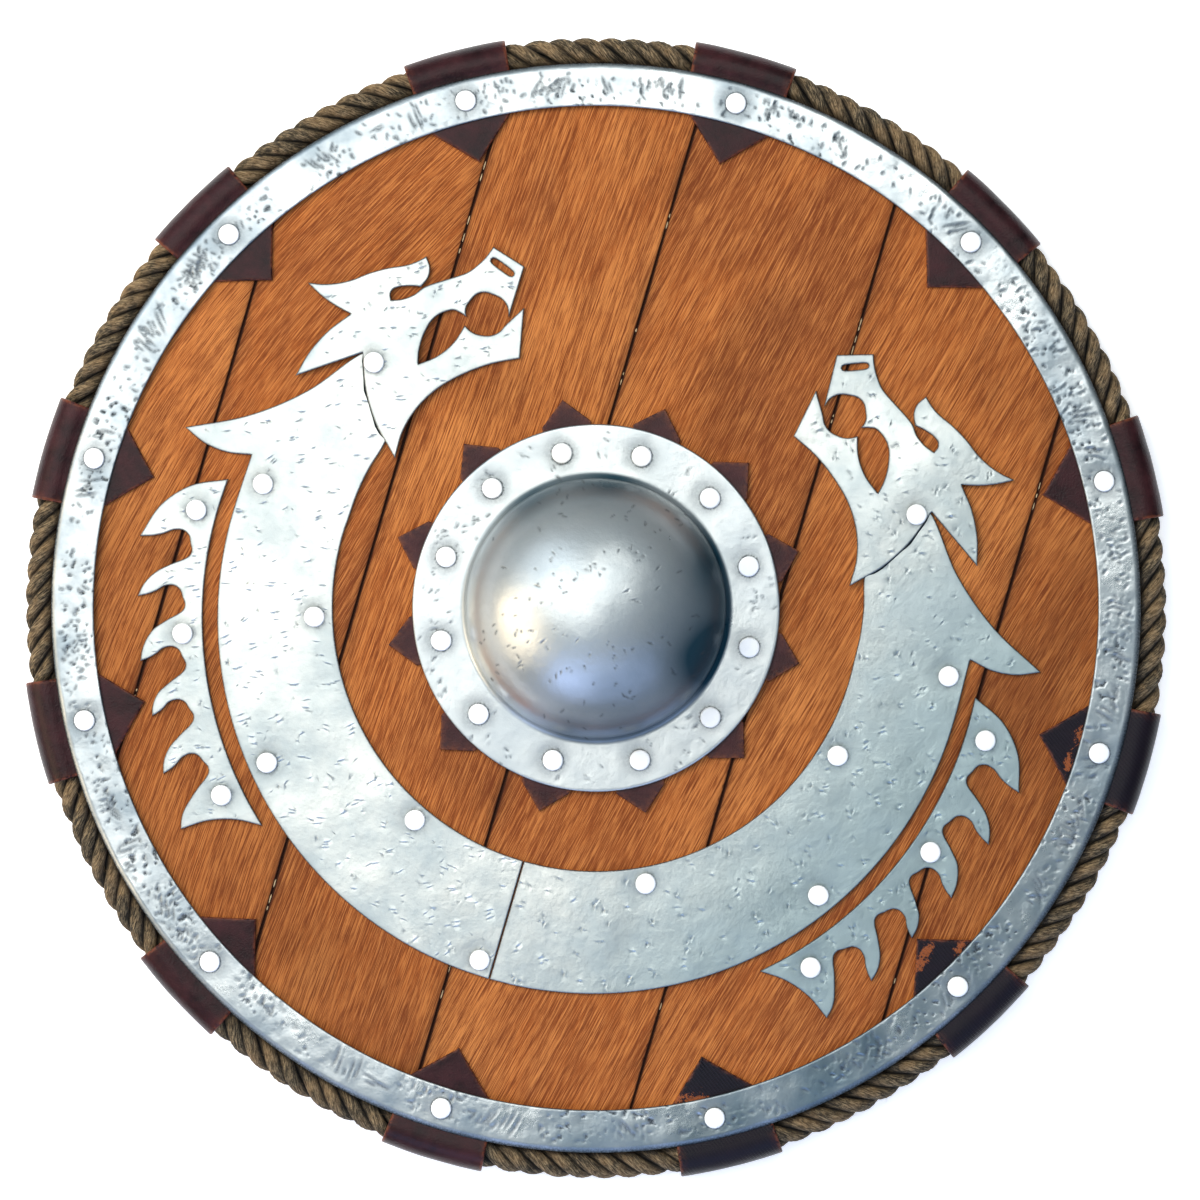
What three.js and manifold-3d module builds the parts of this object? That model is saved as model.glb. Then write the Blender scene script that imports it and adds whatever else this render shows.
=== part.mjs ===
// A round wooden war shield about 0.7 m across, lying on its back, front up, in millimetres.
// +Z is up and out of the front, +Y points along the planks to the shield's top, and the origin is
// under the middle, on the surface that the shield lies on.
// Six planks carry a hammered steel rim band, a domed steel boss and a two-headed dragon cut from
// sheet steel in six plates. A rope runs round the edge, held by twelve leather straps that pass
// under the band, and twelve leather tabs show under the boss. A wooden grip crosses the hand hole.

import * as THREE from "three";
import { mergeVertices } from "three/addons/utils/BufferGeometryUtils.js";
import Module from "manifold-3d";

const wasm = await Module();
wasm.setup();

// Clearances between touching pieces
const LAYER_GAP = 0.3;
const HOLE_GAP = 0.3;
const ROPE_GAP = 0.7;

// Board and its planks. The seams lie at hand-cut shares of the board's radius.
const BOARD_R = 329.5;
const BOARD_T = 10;
const SEAM_SHARES = [-0.774, -0.428, -0.073, 0.322, 0.725];
const SEAM_GAP = 0.6;
const PLANK_CHAMFER = 1.2;
const HAND_HOLE_R = 70;

// Rope round the edge, set a little below the middle of the board's thickness
const ROPE_R = 9.5;
const ROPE_DROP = 3;

// Leather straps that hold the rope, one at each rim rivet. They were set out by eye: these are
// their degrees off an even spacing, clockwise from the top, and those of their rivets.
const STRAPS_OFF = [-0.9, -0.6, -0.6, -0.4, -0.2, 0.2, 0.7, 1.1, 1.5, 0.1, -1.1, -0.8];
const RIM_RIVETS_OFF = [-0.8, -0.6, -0.3, -0.2, 0, 0.6, 0.9, 1.2, 1.3, 0.3, -0.8, -0.7];
const LEATHER_T = 2;
const STRAP_W = 64;
const STRAP_REACH = 48.5;
const STRAP_BACK_REACH = 26;
const STRAP_FLAT = Math.PI / 5;

// Steel rim band
const BAND_T = 1.5;
const BAND_W = 26;
const BAND_OVERHANG = 2.5;

// Boss: a dome on a flat flange
const BOSS_T = 1.8;
const FLANGE_R = 112;
const DOME_R = 79;
const DOME_H = 60;
const DOME_FOOT = 4;
const BOSS_TABS_OFF = [2.9, 0, -2, -0.8, -0.6, -0.5, -0.3, 1.6, 3.2, 3.9, 4.8, 4.4];
const BOSS_RIVETS_OFF = [0.5, -0.2, -1.5, -1.9, -2.6, -2.4, -0.5, 1.6, 1.8, 2.5, 2.8, 1.3];
const BOSS_TAB_W = 30;
const BOSS_TAB_REACH = 16.5;
const BOSS_TAB_ROOT = 9;

// Rivets: a low head and a square forged shank through everything below it, its tail hammered
// out a little behind the last layer
const RIVET_HEAD_R = 6.3;
const RIVET_HEAD_H = 1.8;
const RIVET_HEAD_EDGE = 1.1;
const RIVET_SHANK_R = 2.8;
const RIVET_TAIL_T = 1.2;
const RIM_RIVET_INSET = 10.5;
const BOSS_RIVET_INSET = 15.6;

// Grip: a bar across the planks, lapped on the board's back and thick where the hand closes
const GRIP_LENGTH = 380;
const GRIP_LIFT = 1;
const GRIP_HAND_T = 24;
const GRIP_HAND_W = 32;
const GRIP_HAND_LENGTH = 100;
const GRIP_BROAD_W = 44;
const GRIP_END_W = 32;
const GRIP_CHAMFER = 5;
const GRIP_SHOULDER = 4;
const TAIL_POCKET = 2;
const RIVET_POCKET_R = 5;

// Dragon: sheet plates. The figure's points are hundredths of the body's outer radius.
const PLATE_T = 2;
const CREST_H = 37;
const CREST_GAP = 9;
const CREST_TO_STRAP = 6;
const FIGURE_DROP = 6.5;
const BODY_W = 75;
const BODY_SEAM_X = 1;
const LAP_GAP = 0.4;
const NOSTRIL_R = 1.7;

// Heights of the layers, from the surface that the straps lie on
const WRAP_R = ROPE_R + ROPE_GAP + LEATHER_T;
const ROPE_Z = WRAP_R * Math.cos(STRAP_FLAT / 2);
const BOARD_MID_Z = ROPE_Z + ROPE_DROP;
const BOARD_BACK_Z = BOARD_MID_Z - BOARD_T / 2;
const BOARD_FRONT_Z = BOARD_MID_Z + BOARD_T / 2;
const ON_BOARD_Z = BOARD_FRONT_Z + LAYER_GAP;
const ON_LEATHER_Z = ON_BOARD_Z + LEATHER_T + LAYER_GAP;
const BEHIND_BOARD_Z = BOARD_BACK_Z - LAYER_GAP;
const PLATE_TOP_Z = ON_BOARD_Z + PLATE_T;
const LAP_Z = PLATE_TOP_Z + LAYER_GAP;
const LAP_TOP_Z = LAP_Z + PLATE_T;

// Radii that follow from the sizes above
const ROPE_RING_R = BOARD_R + ROPE_GAP + ROPE_R;
const BAND_OUTER_R = BOARD_R + BAND_OVERHANG;
const BAND_INNER_R = BAND_OUTER_R - BAND_W;
const RIM_RIVET_R = BOARD_R - RIM_RIVET_INSET;
const STRAP_TIP_R = BOARD_R - STRAP_REACH;
const BOSS_RIVET_R = FLANGE_R - BOSS_RIVET_INSET;
const CREST_BASE_R = STRAP_TIP_R - CREST_TO_STRAP - CREST_H;
const FIGURE_R = CREST_BASE_R - CREST_GAP;
const FIGURE_UNIT = FIGURE_R / 100;
const BODY_INNER_R = FIGURE_R + FIGURE_DROP - BODY_W;

// Facets of the round pieces
const RING_STEPS = 60;
const BOSS_STEPS = 30;
const ROPE_SIDES = 8;
const SHANK_SIDES = 4;
const HEAD_SIDES = 8;
const CURVE_STEPS = 3;
const STRAP_STEPS = 2;
const STRAP_ARC_STEP = Math.PI / 4.5;

// Solids and their cuts

function solidOf(geometry) {
  const bare = new THREE.BufferGeometry();
  bare.setAttribute("position", geometry.getAttribute("position"));
  bare.setIndex(geometry.getIndex());
  const merged = mergeVertices(bare, 1e-4);
  return new wasm.Manifold(
    new wasm.Mesh({
      numProp: 3,
      vertProperties: merged.getAttribute("position").array,
      triVerts: new Uint32Array(merged.getIndex().array),
    }),
  );
}

function geometryOf(solid) {
  const mesh = solid.getMesh();
  const geometry = new THREE.BufferGeometry();
  geometry.setAttribute("position", new THREE.BufferAttribute(mesh.vertProperties, 3));
  geometry.setIndex(new THREE.BufferAttribute(mesh.triVerts, 1));
  const faceted = geometry.toNonIndexed();
  faceted.computeVertexNormals();
  return faceted;
}

function extruded(shape, low, high, steps = CURVE_STEPS) {
  const geometry = new THREE.ExtrudeGeometry(shape, {
    depth: high - low,
    bevelEnabled: false,
    curveSegments: steps,
  });
  return geometry.translate(0, 0, low);
}

function prism(shape, low, high, steps) {
  return solidOf(extruded(shape, low, high, steps));
}

function polygon(points) {
  return new THREE.Shape(points.map(([x, y]) => new THREE.Vector2(x, y)));
}

function circle(radius, x = 0, y = 0) {
  return new THREE.Shape().absarc(x, y, radius, 0, 2 * Math.PI);
}

// A solid of revolution about Z. The profile of [radius, height] runs up the outside.
function turned(profile, steps) {
  const points = profile.map(([r, z]) => new THREE.Vector2(r, z));
  return solidOf(new THREE.LatheGeometry(points, steps).rotateX(Math.PI / 2));
}

// A closed [radius, height] profile swept about Z through an angle, with flat ends.
function sweptAbout(profile, angle, steps) {
  const flat = profile.map(([r, z]) => new THREE.Vector2(r, z));
  const ends = THREE.ShapeUtils.triangulateShape(flat, []);
  const positions = [];
  for (let i = 0; i <= steps; i++) {
    const turn = angle * (i / steps - 0.5);
    flat.forEach((p) => positions.push(p.x * Math.sin(turn), p.x * Math.cos(turn), p.y));
  }
  const n = flat.length;
  const last = steps * n;
  const index = [];
  for (let i = 0; i < steps; i++) {
    for (let j = 0; j < n; j++) {
      const a = i * n + j;
      const b = i * n + ((j + 1) % n);
      index.push(a, b, a + n, b, b + n, a + n);
    }
  }
  ends.forEach(([a, b, c]) => index.push(a, c, b, last + a, last + b, last + c));
  const geometry = new THREE.BufferGeometry();
  geometry.setAttribute("position", new THREE.Float32BufferAttribute(positions, 3));
  geometry.setIndex(index);
  return solidOf(geometry);
}

// The solid turned clockwise about Z, seen from the front.
function spun(solid, angle) {
  return solid.rotate([0, 0, THREE.MathUtils.radToDeg(-angle)]);
}

// The solid set on a place of the front, turned to face away from the middle.
function setAt(solid, [x, y]) {
  return spun(solid, Math.atan2(x, y)).translate([x, y, 0]);
}

// Angles spaced evenly round a circle, each moved by its own degrees.
function places(degreesOff) {
  const step = 360 / degreesOff.length;
  return degreesOff.map((off, i) => THREE.MathUtils.degToRad(i * step + off));
}

function onCircle(radius, angle) {
  return [radius * Math.sin(angle), radius * Math.cos(angle)];
}

function allOf(solids) {
  return solids.reduce((whole, piece) => whole.add(piece));
}

function without(solid, cutters) {
  return cutters.reduce((rest, cutter) => rest.subtract(cutter), solid);
}

// Outlines

// A closed outline of [x, y, bow] corners. The edge after a corner bows to its left by that share
// of its length.
function bowed(corners) {
  const shape = new THREE.Shape();
  shape.moveTo(corners[0][0], corners[0][1]);
  corners.forEach(([x, y, bow = 0], i) => {
    const [endX, endY] = corners[(i + 1) % corners.length];
    if (bow === 0) {
      shape.lineTo(endX, endY);
      return;
    }
    const bendX = (x + endX) / 2 - 2 * bow * (endY - y);
    const bendY = (y + endY) / 2 + 2 * bow * (endX - x);
    shape.quadraticCurveTo(bendX, bendY, endX, endY);
  });
  return shape;
}

// A convex clockwise polygon grown by a margin on every side.
function grown(points, margin) {
  return points.map((point, i) => {
    const before = points[(i + points.length - 1) % points.length];
    const after = points[(i + 1) % points.length];
    const normals = [
      [before, point],
      [point, after],
    ].map(([a, b]) => {
      const length = Math.hypot(b[0] - a[0], b[1] - a[1]);
      return [-(b[1] - a[1]) / length, (b[0] - a[0]) / length];
    });
    const [n, m] = normals;
    const reach = margin / (1 + n[0] * m[0] + n[1] * m[1]);
    return [point[0] + (n[0] + m[0]) * reach, point[1] + (n[1] + m[1]) * reach];
  });
}

// Rivets

function shankHole(place) {
  const radius = RIVET_SHANK_R + HOLE_GAP;
  const length = 2 * (LAP_TOP_Z + RIVET_HEAD_H);
  const hole = new THREE.CylinderGeometry(radius, radius, length, SHANK_SIDES);
  hole.rotateX(Math.PI / 2);
  return setAt(solidOf(hole), place);
}

function tailPocket(place) {
  const radius = RIVET_POCKET_R;
  const pocket = new THREE.CylinderGeometry(radius, radius, TAIL_POCKET * 2, HEAD_SIDES);
  return setAt(solidOf(pocket.rotateX(Math.PI / 2).translate(0, 0, GRIP_LIFT)), place);
}

// A rivet whose head sits on one height and whose shank ends a little under another.
function rivet(place, headZ, tailZ) {
  const head = turned(
    [
      [0, headZ],
      [RIVET_HEAD_R, headZ],
      [RIVET_HEAD_R - RIVET_HEAD_EDGE, headZ + RIVET_HEAD_H],
      [0, headZ + RIVET_HEAD_H],
    ],
    HEAD_SIDES,
  );
  const pin = turned(
    [
      [0, tailZ - RIVET_TAIL_T],
      [RIVET_SHANK_R, tailZ - RIVET_TAIL_T],
      [RIVET_SHANK_R, headZ + RIVET_HEAD_H / 2],
      [0, headZ + RIVET_HEAD_H / 2],
    ],
    SHANK_SIDES,
  );
  return setAt(head.add(pin), place);
}

// Where the tail of a rivet through the grip lies, inside its pocket.
const GRIP_TAIL_Z = GRIP_LIFT + TAIL_POCKET - HOLE_GAP;

const rimRivets = places(RIM_RIVETS_OFF).map((angle) => onCircle(RIM_RIVET_R, angle));
const bossRivets = places(BOSS_RIVETS_OFF).map((angle) => onCircle(BOSS_RIVET_R, angle));

// The two sides of the dragon are cut by one pattern, and set by hand, so they differ a little
const SIDES = [
  {
    name: "left",
    mirror: 1,
    neckLift: 0,
    headTurn: 0,
    headShift: [0, 0],
    bodyRivets: [
      [-94.3, 6.8],
      [-71.3, -23.3],
      [-72.5, -64.1],
      [-30.4, -67.7],
      [-3.4, -98.6],
    ],
  },
  {
    name: "right",
    mirror: -1,
    neckLift: 1.3,
    headTurn: THREE.MathUtils.degToRad(-1.7),
    headShift: [0.5, 1.4],
    bodyRivets: [
      [-95.2, 8.9],
      [-72.8, -19.7],
      [-78.3, -56.8],
      [-33.3, -66.7],
    ],
  },
];

const HEAD_PIVOT = [-65.9, 59];
const HEAD_RIVET = [-75, 46.1];
const CREST_RIVETS = [
  [-109.4, -4.8],
  [-103.7, -37.4],
  [-81.7, -75.8],
];

function inMillimetres([x, y, ...rest]) {
  return [x * FIGURE_UNIT, y * FIGURE_UNIT, ...rest];
}

function mirrored(side, [x, y, bow = 0]) {
  return [x * side.mirror, y, bow * side.mirror];
}

function setHead(side, [x, y, ...rest]) {
  const dx = x - HEAD_PIVOT[0];
  const dy = y - HEAD_PIVOT[1];
  const c = Math.cos(side.headTurn);
  const s = Math.sin(side.headTurn);
  const turnedX = HEAD_PIVOT[0] + c * dx - s * dy + side.headShift[0];
  const turnedY = HEAD_PIVOT[1] + s * dx + c * dy + side.headShift[1];
  return mirrored(side, inMillimetres([turnedX, turnedY, ...rest]));
}

// Dragon head: horn, crest lobe, forehead, snout, upper jaw, gullet, lower jaw, throat and nape,
// clockwise on the left side of the shield
const HEAD_CORNERS = [
  [-98, 61.6, -0.06],
  [-86.9, 65.6, 0.04],
  [-74.2, 73.4, -0.04],
  [-69.6, 77.2, 0.2],
  [-68.7, 69, -0.04],
  [-74.2, 67.4, -0.28],
  [-75.3, 63.3, -0.1],
  [-67.8, 69.2, 0],
  [-57.9, 76.2, -0.06],
  [-53.2, 84.6, 0],
  [-43.8, 81.9, 0],
  [-44, 67.7, -0.2],
  [-49.9, 72.4, -0.22],
  [-55.1, 69, -0.15],
  [-54.8, 64.7, -0.05],
  [-58.7, 65.5, -0.15],
  [-64.2, 58.1, -0.06],
  [-63.6, 49, -0.11],
  [-54.6, 62.4, -0.1],
  [-49.9, 61.1, -0.17],
  [-44.2, 65.6, 0],
  [-40.8, 71.4, 0],
  [-38.1, 58.1, -0.062],
  [-56.8, 44.2, -0.1],
  [-62.5, 23.2, 0.08],
  [-78.7, 47.8, 0],
  [-94.1, 36.9, 0.075],
  [-84.6, 56.8, 0.05],
];
const NOSTRIL = [
  [-52.1, 81.1],
  [-46.6, 79.1],
];

// The hidden tongue of the neck that the head laps over, clockwise on the left side
const LAP_CORNERS = [
  [-87.3, 37.1],
  [-79, 47.5],
  [-73.4, 51.1],
  [-65.3, 34.9],
  [-66.4, 25.8],
  [-68.1, 19.2],
];

function lifted(side, [x, y, ...rest]) {
  return mirrored(side, inMillimetres([x, y + side.neckLift, ...rest]));
}

function lapShape(side, margin) {
  const points = LAP_CORNERS.map(inMillimetres).map(([x, y]) => [x, y]);
  const lift = side.neckLift * FIGURE_UNIT;
  return polygon(grown(points, margin).map(([x, y]) => [x * side.mirror, y + lift]));
}

function dragonHead(side) {
  const outline = bowed(HEAD_CORNERS.map((corner) => setHead(side, corner)));
  const sheet = prism(outline, ON_BOARD_Z, PLATE_TOP_Z);
  const raised = prism(outline, ON_BOARD_Z, LAP_TOP_Z).intersect(
    prism(lapShape(side, LAP_GAP + PLATE_T), ON_BOARD_Z - 1, LAP_TOP_Z + 1),
  );
  const room = prism(lapShape(side, LAP_GAP), ON_BOARD_Z - 1, LAP_Z);
  const [from, to] = NOSTRIL.map((end) => setHead(side, end));
  const tilt = Math.atan2(to[1] - from[1], to[0] - from[0]);
  const nostril = new THREE.Shape();
  nostril.absarc(from[0], from[1], NOSTRIL_R, tilt + Math.PI / 2, tilt + 1.5 * Math.PI);
  nostril.absarc(to[0], to[1], NOSTRIL_R, tilt - Math.PI / 2, tilt + Math.PI / 2);
  const slot = prism(nostril, ON_BOARD_Z - 1, PLATE_TOP_Z + 1, 2);
  return without(sheet.add(raised), [room, slot, shankHole(setHead(side, HEAD_RIVET))]);
}

// Neck, from the inner arc up to the tongue under the head, then down the nape to the fin at the
// shoulder and its corner, clockwise on the left side
const NECK_CORNERS = [
  [-69.9, 4.4, 0.04],
  [-66.4, 25.8, 0],
  [-65.3, 34.9, 0],
  [-73.4, 51.1, 0],
  [-79, 47.5, 0.079],
  [-118.5, 15.5, -0.11],
  [-99.5, 13.4, 0],
];

function bodyShape(side) {
  const neck = NECK_CORNERS.map((corner) => lifted(side, corner));
  const left = side.mirror > 0;
  const seamX = BODY_SEAM_X - (side.mirror * SEAM_GAP) / 2;
  const outerY = -FIGURE_DROP - Math.sqrt(FIGURE_R ** 2 - seamX ** 2);
  const innerY = -Math.sqrt(BODY_INNER_R ** 2 - seamX ** 2);
  const arcSteps = 18;
  const outerStart = Math.atan2(outerY + FIGURE_DROP, seamX);
  const innerStart = Math.atan2(innerY, seamX);
  const flankEnd = left ? -Math.PI : 0;
  const outer = [];
  const inner = [];
  for (let i = 0; i <= arcSteps; i++) {
    const share = i / arcSteps;
    const a = flankEnd + (outerStart - flankEnd) * share;
    const b = innerStart + (flankEnd - innerStart) * share;
    outer.push([FIGURE_R * Math.cos(a), FIGURE_R * Math.sin(a) - FIGURE_DROP]);
    inner.push([BODY_INNER_R * Math.cos(b), BODY_INNER_R * Math.sin(b)]);
  }
  return bowed([...neck, ...outer, ...inner]);
}

function bodyRivetPlaces(side) {
  return side.bodyRivets.map((place) => mirrored(side, inMillimetres(place)));
}

function dragonBody(side) {
  const sheet = prism(bodyShape(side), ON_BOARD_Z, PLATE_TOP_Z);
  const places = [...bodyRivetPlaces(side), setHead(side, HEAD_RIVET)];
  return without(sheet, places.map(shankHole));
}

// Crest: a strip along the back with six hooked teeth. A tooth's tip is degrees along the strip
// and shares of the crest's height. The gap after it starts from the tip, and the gaps grow a
// little shallower from tooth to tooth.
const CREST_TOP = -4.6;
const CREST_END = 48.4;
const TOOTH_TIPS = [
  [6, 1.16],
  [13.5, 1.08],
  [21.7, 1.06],
  [28.8, 1.01],
  [36.2, 1.1],
  [43.4, 1.2],
];
const TOOTH_GAP = [
  [-1.65, 0.62, 0.28],
  [-0.15, 0.31, 0.25],
  [2, 0.37, -0.02],
  [4, 0.78, -0.09],
];
const GAP_CHANGE = [0.12, 0.025];

function crestPoint(side, degrees, height, bow = 0) {
  const angle = Math.PI + THREE.MathUtils.degToRad(degrees);
  const radius = CREST_BASE_R + height * CREST_H;
  const x = radius * Math.cos(angle);
  const y = radius * Math.sin(angle) - FIGURE_DROP;
  return mirrored(side, [x, y, bow]);
}

function crestShape(side) {
  const corners = [];
  const arcSteps = 12;
  for (let i = 0; i < arcSteps; i++) {
    corners.push(crestPoint(side, CREST_END + ((CREST_TOP - CREST_END) * i) / arcSteps, 0));
  }
  corners.push(crestPoint(side, CREST_TOP, 0, -0.16));
  TOOTH_TIPS.forEach(([tip, height], tooth) => {
    if (tooth === TOOTH_TIPS.length - 1) {
      corners.push(crestPoint(side, tip, height, 0.1));
      return;
    }
    corners.push(crestPoint(side, tip, height, -0.06));
    TOOTH_GAP.forEach(([along, up, bow]) => {
      const degrees = tip + along + tooth * GAP_CHANGE[0];
      corners.push(crestPoint(side, degrees, up + tooth * GAP_CHANGE[1], bow));
    });
  });
  return bowed(corners);
}

function crestRivetPlaces(side) {
  return CREST_RIVETS.map((place) => mirrored(side, inMillimetres(place)));
}

function dragonCrest(side) {
  const sheet = prism(crestShape(side), ON_BOARD_Z, PLATE_TOP_Z);
  return without(sheet, crestRivetPlaces(side).map(shankHole));
}

const dragonRivets = SIDES.flatMap((side) => [
  { place: setHead(side, HEAD_RIVET), headZ: LAP_TOP_Z + LAYER_GAP, tailZ: BEHIND_BOARD_Z },
  ...bodyRivetPlaces(side).map((place) => ({
    place,
    headZ: LAP_Z,
    tailZ: BEHIND_BOARD_Z,
  })),
  ...crestRivetPlaces(side).map((place) => ({
    place,
    headZ: LAP_Z,
    tailZ: BEHIND_BOARD_Z,
  })),
]);

// Wooden pieces

function plank(fromX, toX, holes) {
  const c = PLANK_CHAMFER;
  const section = polygon([
    [fromX, -BOARD_BACK_Z],
    [fromX, -(BOARD_FRONT_Z - c)],
    [fromX + c, -BOARD_FRONT_Z],
    [toX - c, -BOARD_FRONT_Z],
    [toX, -(BOARD_FRONT_Z - c)],
    [toX, -BOARD_BACK_Z],
  ]);
  const length = 2 * BOARD_R + 2;
  const board = extruded(section, -length / 2, length / 2).rotateX(-Math.PI / 2);
  const disc = prism(circle(BOARD_R), 0, BOARD_FRONT_Z + 1, RING_STEPS / 2);
  const handHole = prism(circle(HAND_HOLE_R), 0, BOARD_FRONT_Z + 1, RING_STEPS / 4);
  return without(solidOf(board).intersect(disc), [handHole, ...holes]);
}

function planks() {
  const edges = [-BOARD_R - 1, ...SEAM_SHARES.map((share) => share * BOARD_R), BOARD_R + 1];
  const holes = [...rimRivets, ...bossRivets, ...dragonRivets.map((r) => r.place)];
  return edges.slice(1).map((toX, i) => {
    const fromX = edges[i];
    const near = holes.filter(([x]) => x > fromX - RIVET_HEAD_R && x < toX + RIVET_HEAD_R);
    return plank(fromX + SEAM_GAP / 2, toX - SEAM_GAP / 2, near.map(shankHole));
  });
}

function grip() {
  const backZ = GRIP_LIFT;
  const handZ = GRIP_LIFT + GRIP_HAND_T;
  const halfHand = GRIP_HAND_LENGTH / 2;
  const half = GRIP_LENGTH / 2;
  const shoulderX = Math.sqrt(HAND_HOLE_R ** 2 - (GRIP_BROAD_W / 2) ** 2) - GRIP_SHOULDER;
  const side = polygon([
    [-half, -backZ],
    [half, -backZ],
    [half, -BEHIND_BOARD_Z],
    [shoulderX, -BEHIND_BOARD_Z],
    [halfHand, -handZ],
    [-halfHand, -handZ],
    [-shoulderX, -BEHIND_BOARD_Z],
    [-half, -BEHIND_BOARD_Z],
  ]);
  const bar = extruded(side, -GRIP_BROAD_W, GRIP_BROAD_W).rotateX(-Math.PI / 2);
  const quarter = [
    [halfHand, GRIP_HAND_W / 2],
    [BOSS_RIVET_R, GRIP_BROAD_W / 2],
    [half, GRIP_END_W / 2],
  ];
  const plan = polygon([
    ...quarter,
    ...quarter.map(([x, y]) => [x, -y]).reverse(),
    ...quarter.map(([x, y]) => [-x, -y]),
    ...quarter.map(([x, y]) => [-x, y]).reverse(),
  ]);
  const lowEdges = [-1, 1].flatMap((sideY) =>
    [backZ, handZ].map((z) => {
      const edge = new THREE.BoxGeometry(
        GRIP_HAND_LENGTH,
        GRIP_CHAMFER * Math.SQRT2,
        GRIP_CHAMFER * Math.SQRT2,
      );
      edge.rotateX(Math.PI / 4);
      return solidOf(edge.translate(0, (sideY * GRIP_HAND_W) / 2, z));
    }),
  );
  const held = bossRivets.filter(onGrip);
  const drilled = [...held, ...dragonRivets.map(({ place }) => place)];
  const blank = solidOf(bar).intersect(prism(plan, backZ - 1, handZ + 1));
  return without(blank, [...lowEdges, ...drilled.map(shankHole), ...held.map(tailPocket)]);
}

function onGrip([x, y]) {
  return Math.abs(y) < GRIP_HAND_W / 4 && Math.abs(x) < GRIP_LENGTH / 2;
}

// Leather pieces

// The point where a line from a point leaves a circle about the rope, on the outer side of it.
function tangentAngle([r, z], radius, side) {
  const dr = ROPE_RING_R - r;
  const dz = ROPE_Z - z;
  const toCentre = Math.atan2(dz, dr);
  const away = Math.acos(radius / Math.hypot(dr, dz));
  return toCentre + Math.PI - side * away;
}

// One face of the strap's section, from the front tab's tip round the rope to the back tab's end,
// with a flat under the rope that the shield lies on
function strapFace(offset) {
  const radius = ROPE_R + ROPE_GAP + offset;
  const frontZ = ON_BOARD_Z + offset;
  const backZ = BEHIND_BOARD_Z - offset;
  const front = [BAND_OUTER_R + LAYER_GAP, frontZ];
  const back = [RIM_RIVET_R + RIVET_POCKET_R, backZ];
  const from = tangentAngle(front, radius, 1);
  const to = tangentAngle(back, radius, -1) - 2 * Math.PI;
  const arc = [];
  const bend = (start, end) => {
    const steps = Math.ceil((start - end) / STRAP_ARC_STEP);
    for (let i = 0; i <= steps; i++) {
      const angle = start + ((end - start) * i) / steps;
      arc.push([ROPE_RING_R + radius * Math.cos(angle), ROPE_Z + radius * Math.sin(angle)]);
    }
  };
  bend(from, -Math.PI / 2 + STRAP_FLAT / 2);
  bend(-Math.PI / 2 - STRAP_FLAT / 2, to);
  const frontEnd = [STRAP_TIP_R - 1, frontZ];
  const backEnd = [BOARD_R - STRAP_BACK_REACH, backZ];
  return [frontEnd, front, ...arc, back, backEnd];
}

function rimStraps() {
  const section = [...strapFace(0), ...strapFace(LEATHER_T).reverse()];
  const outerR = ROPE_RING_R + WRAP_R;
  const angle = 2 * Math.asin(STRAP_W / 2 / outerR);
  const half = STRAP_W / 2;
  const pointed = polygon([
    [0, STRAP_TIP_R],
    [half, STRAP_TIP_R + half],
    [half + 1, outerR + 1],
    [-half - 1, outerR + 1],
    [-half, STRAP_TIP_R + half],
  ]);
  const strap = sweptAbout(section, angle, STRAP_STEPS).intersect(
    prism(pointed, -1, ON_LEATHER_Z + ROPE_R),
  );
  return places(STRAPS_OFF).map((place, i) =>
    spun(strap, place).subtract(shankHole(rimRivets[i])),
  );
}

function bossTabs() {
  const half = BOSS_TAB_W / 2;
  const tipR = FLANGE_R + BOSS_TAB_REACH;
  const rootR = BOSS_RIVET_R - BOSS_TAB_ROOT;
  const outline = polygon([
    [0, tipR],
    [half, tipR - half],
    [half, rootR],
    [-half, rootR],
    [-half, tipR - half],
  ]);
  const tab = prism(outline, ON_BOARD_Z, ON_BOARD_Z + LEATHER_T);
  return places(BOSS_TABS_OFF).map((place, i) =>
    spun(tab, place).subtract(shankHole(bossRivets[i])),
  );
}

// Steel band and boss, each with its rivets, and the rope

function rimBand() {
  const low = ON_LEATHER_Z;
  const high = ON_LEATHER_Z + BAND_T;
  const ring = turned(
    [
      [BAND_INNER_R, low],
      [BAND_OUTER_R, low],
      [BAND_OUTER_R, high],
      [BAND_INNER_R, high],
      [BAND_INNER_R, low],
    ],
    RING_STEPS,
  );
  const tailZ = BEHIND_BOARD_Z - LEATHER_T - LAYER_GAP;
  return allOf([ring, ...rimRivets.map((place) => rivet(place, high, tailZ))]);
}

// The dome's face from its foot to the crown, a foot fillet and then a quarter of an ellipse
function domeFace(footZ, radius, height, steps) {
  const face = [];
  for (let i = 0; i <= steps; i++) {
    const angle = ((Math.PI / 2) * i) / steps;
    face.push([radius * Math.cos(angle), footZ + DOME_FOOT + (height - DOME_FOOT) * Math.sin(angle)]);
  }
  face[steps][0] = 0;
  return [[radius + DOME_FOOT, footZ], ...face];
}

function boss() {
  const low = ON_LEATHER_Z;
  const high = low + BOSS_T;
  const outside = domeFace(high, DOME_R, DOME_H, 6);
  const inside = domeFace(low, DOME_R - BOSS_T, DOME_H, 4);
  const shell = turned(
    [...inside.reverse(), [FLANGE_R, low], [FLANGE_R, high], ...outside],
    BOSS_STEPS,
  );
  const rivets = bossRivets.map((place) =>
    rivet(place, high, onGrip(place) ? GRIP_TAIL_Z : BEHIND_BOARD_Z),
  );
  return allOf([shell, ...rivets]);
}

function rope() {
  const section = [];
  for (let i = 0; i <= ROPE_SIDES; i++) {
    const angle = (2 * Math.PI * i) / ROPE_SIDES;
    section.push([ROPE_RING_R + ROPE_R * Math.cos(angle), ROPE_Z + ROPE_R * Math.sin(angle)]);
  }
  return turned(section, RING_STEPS);
}

// The shield

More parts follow.
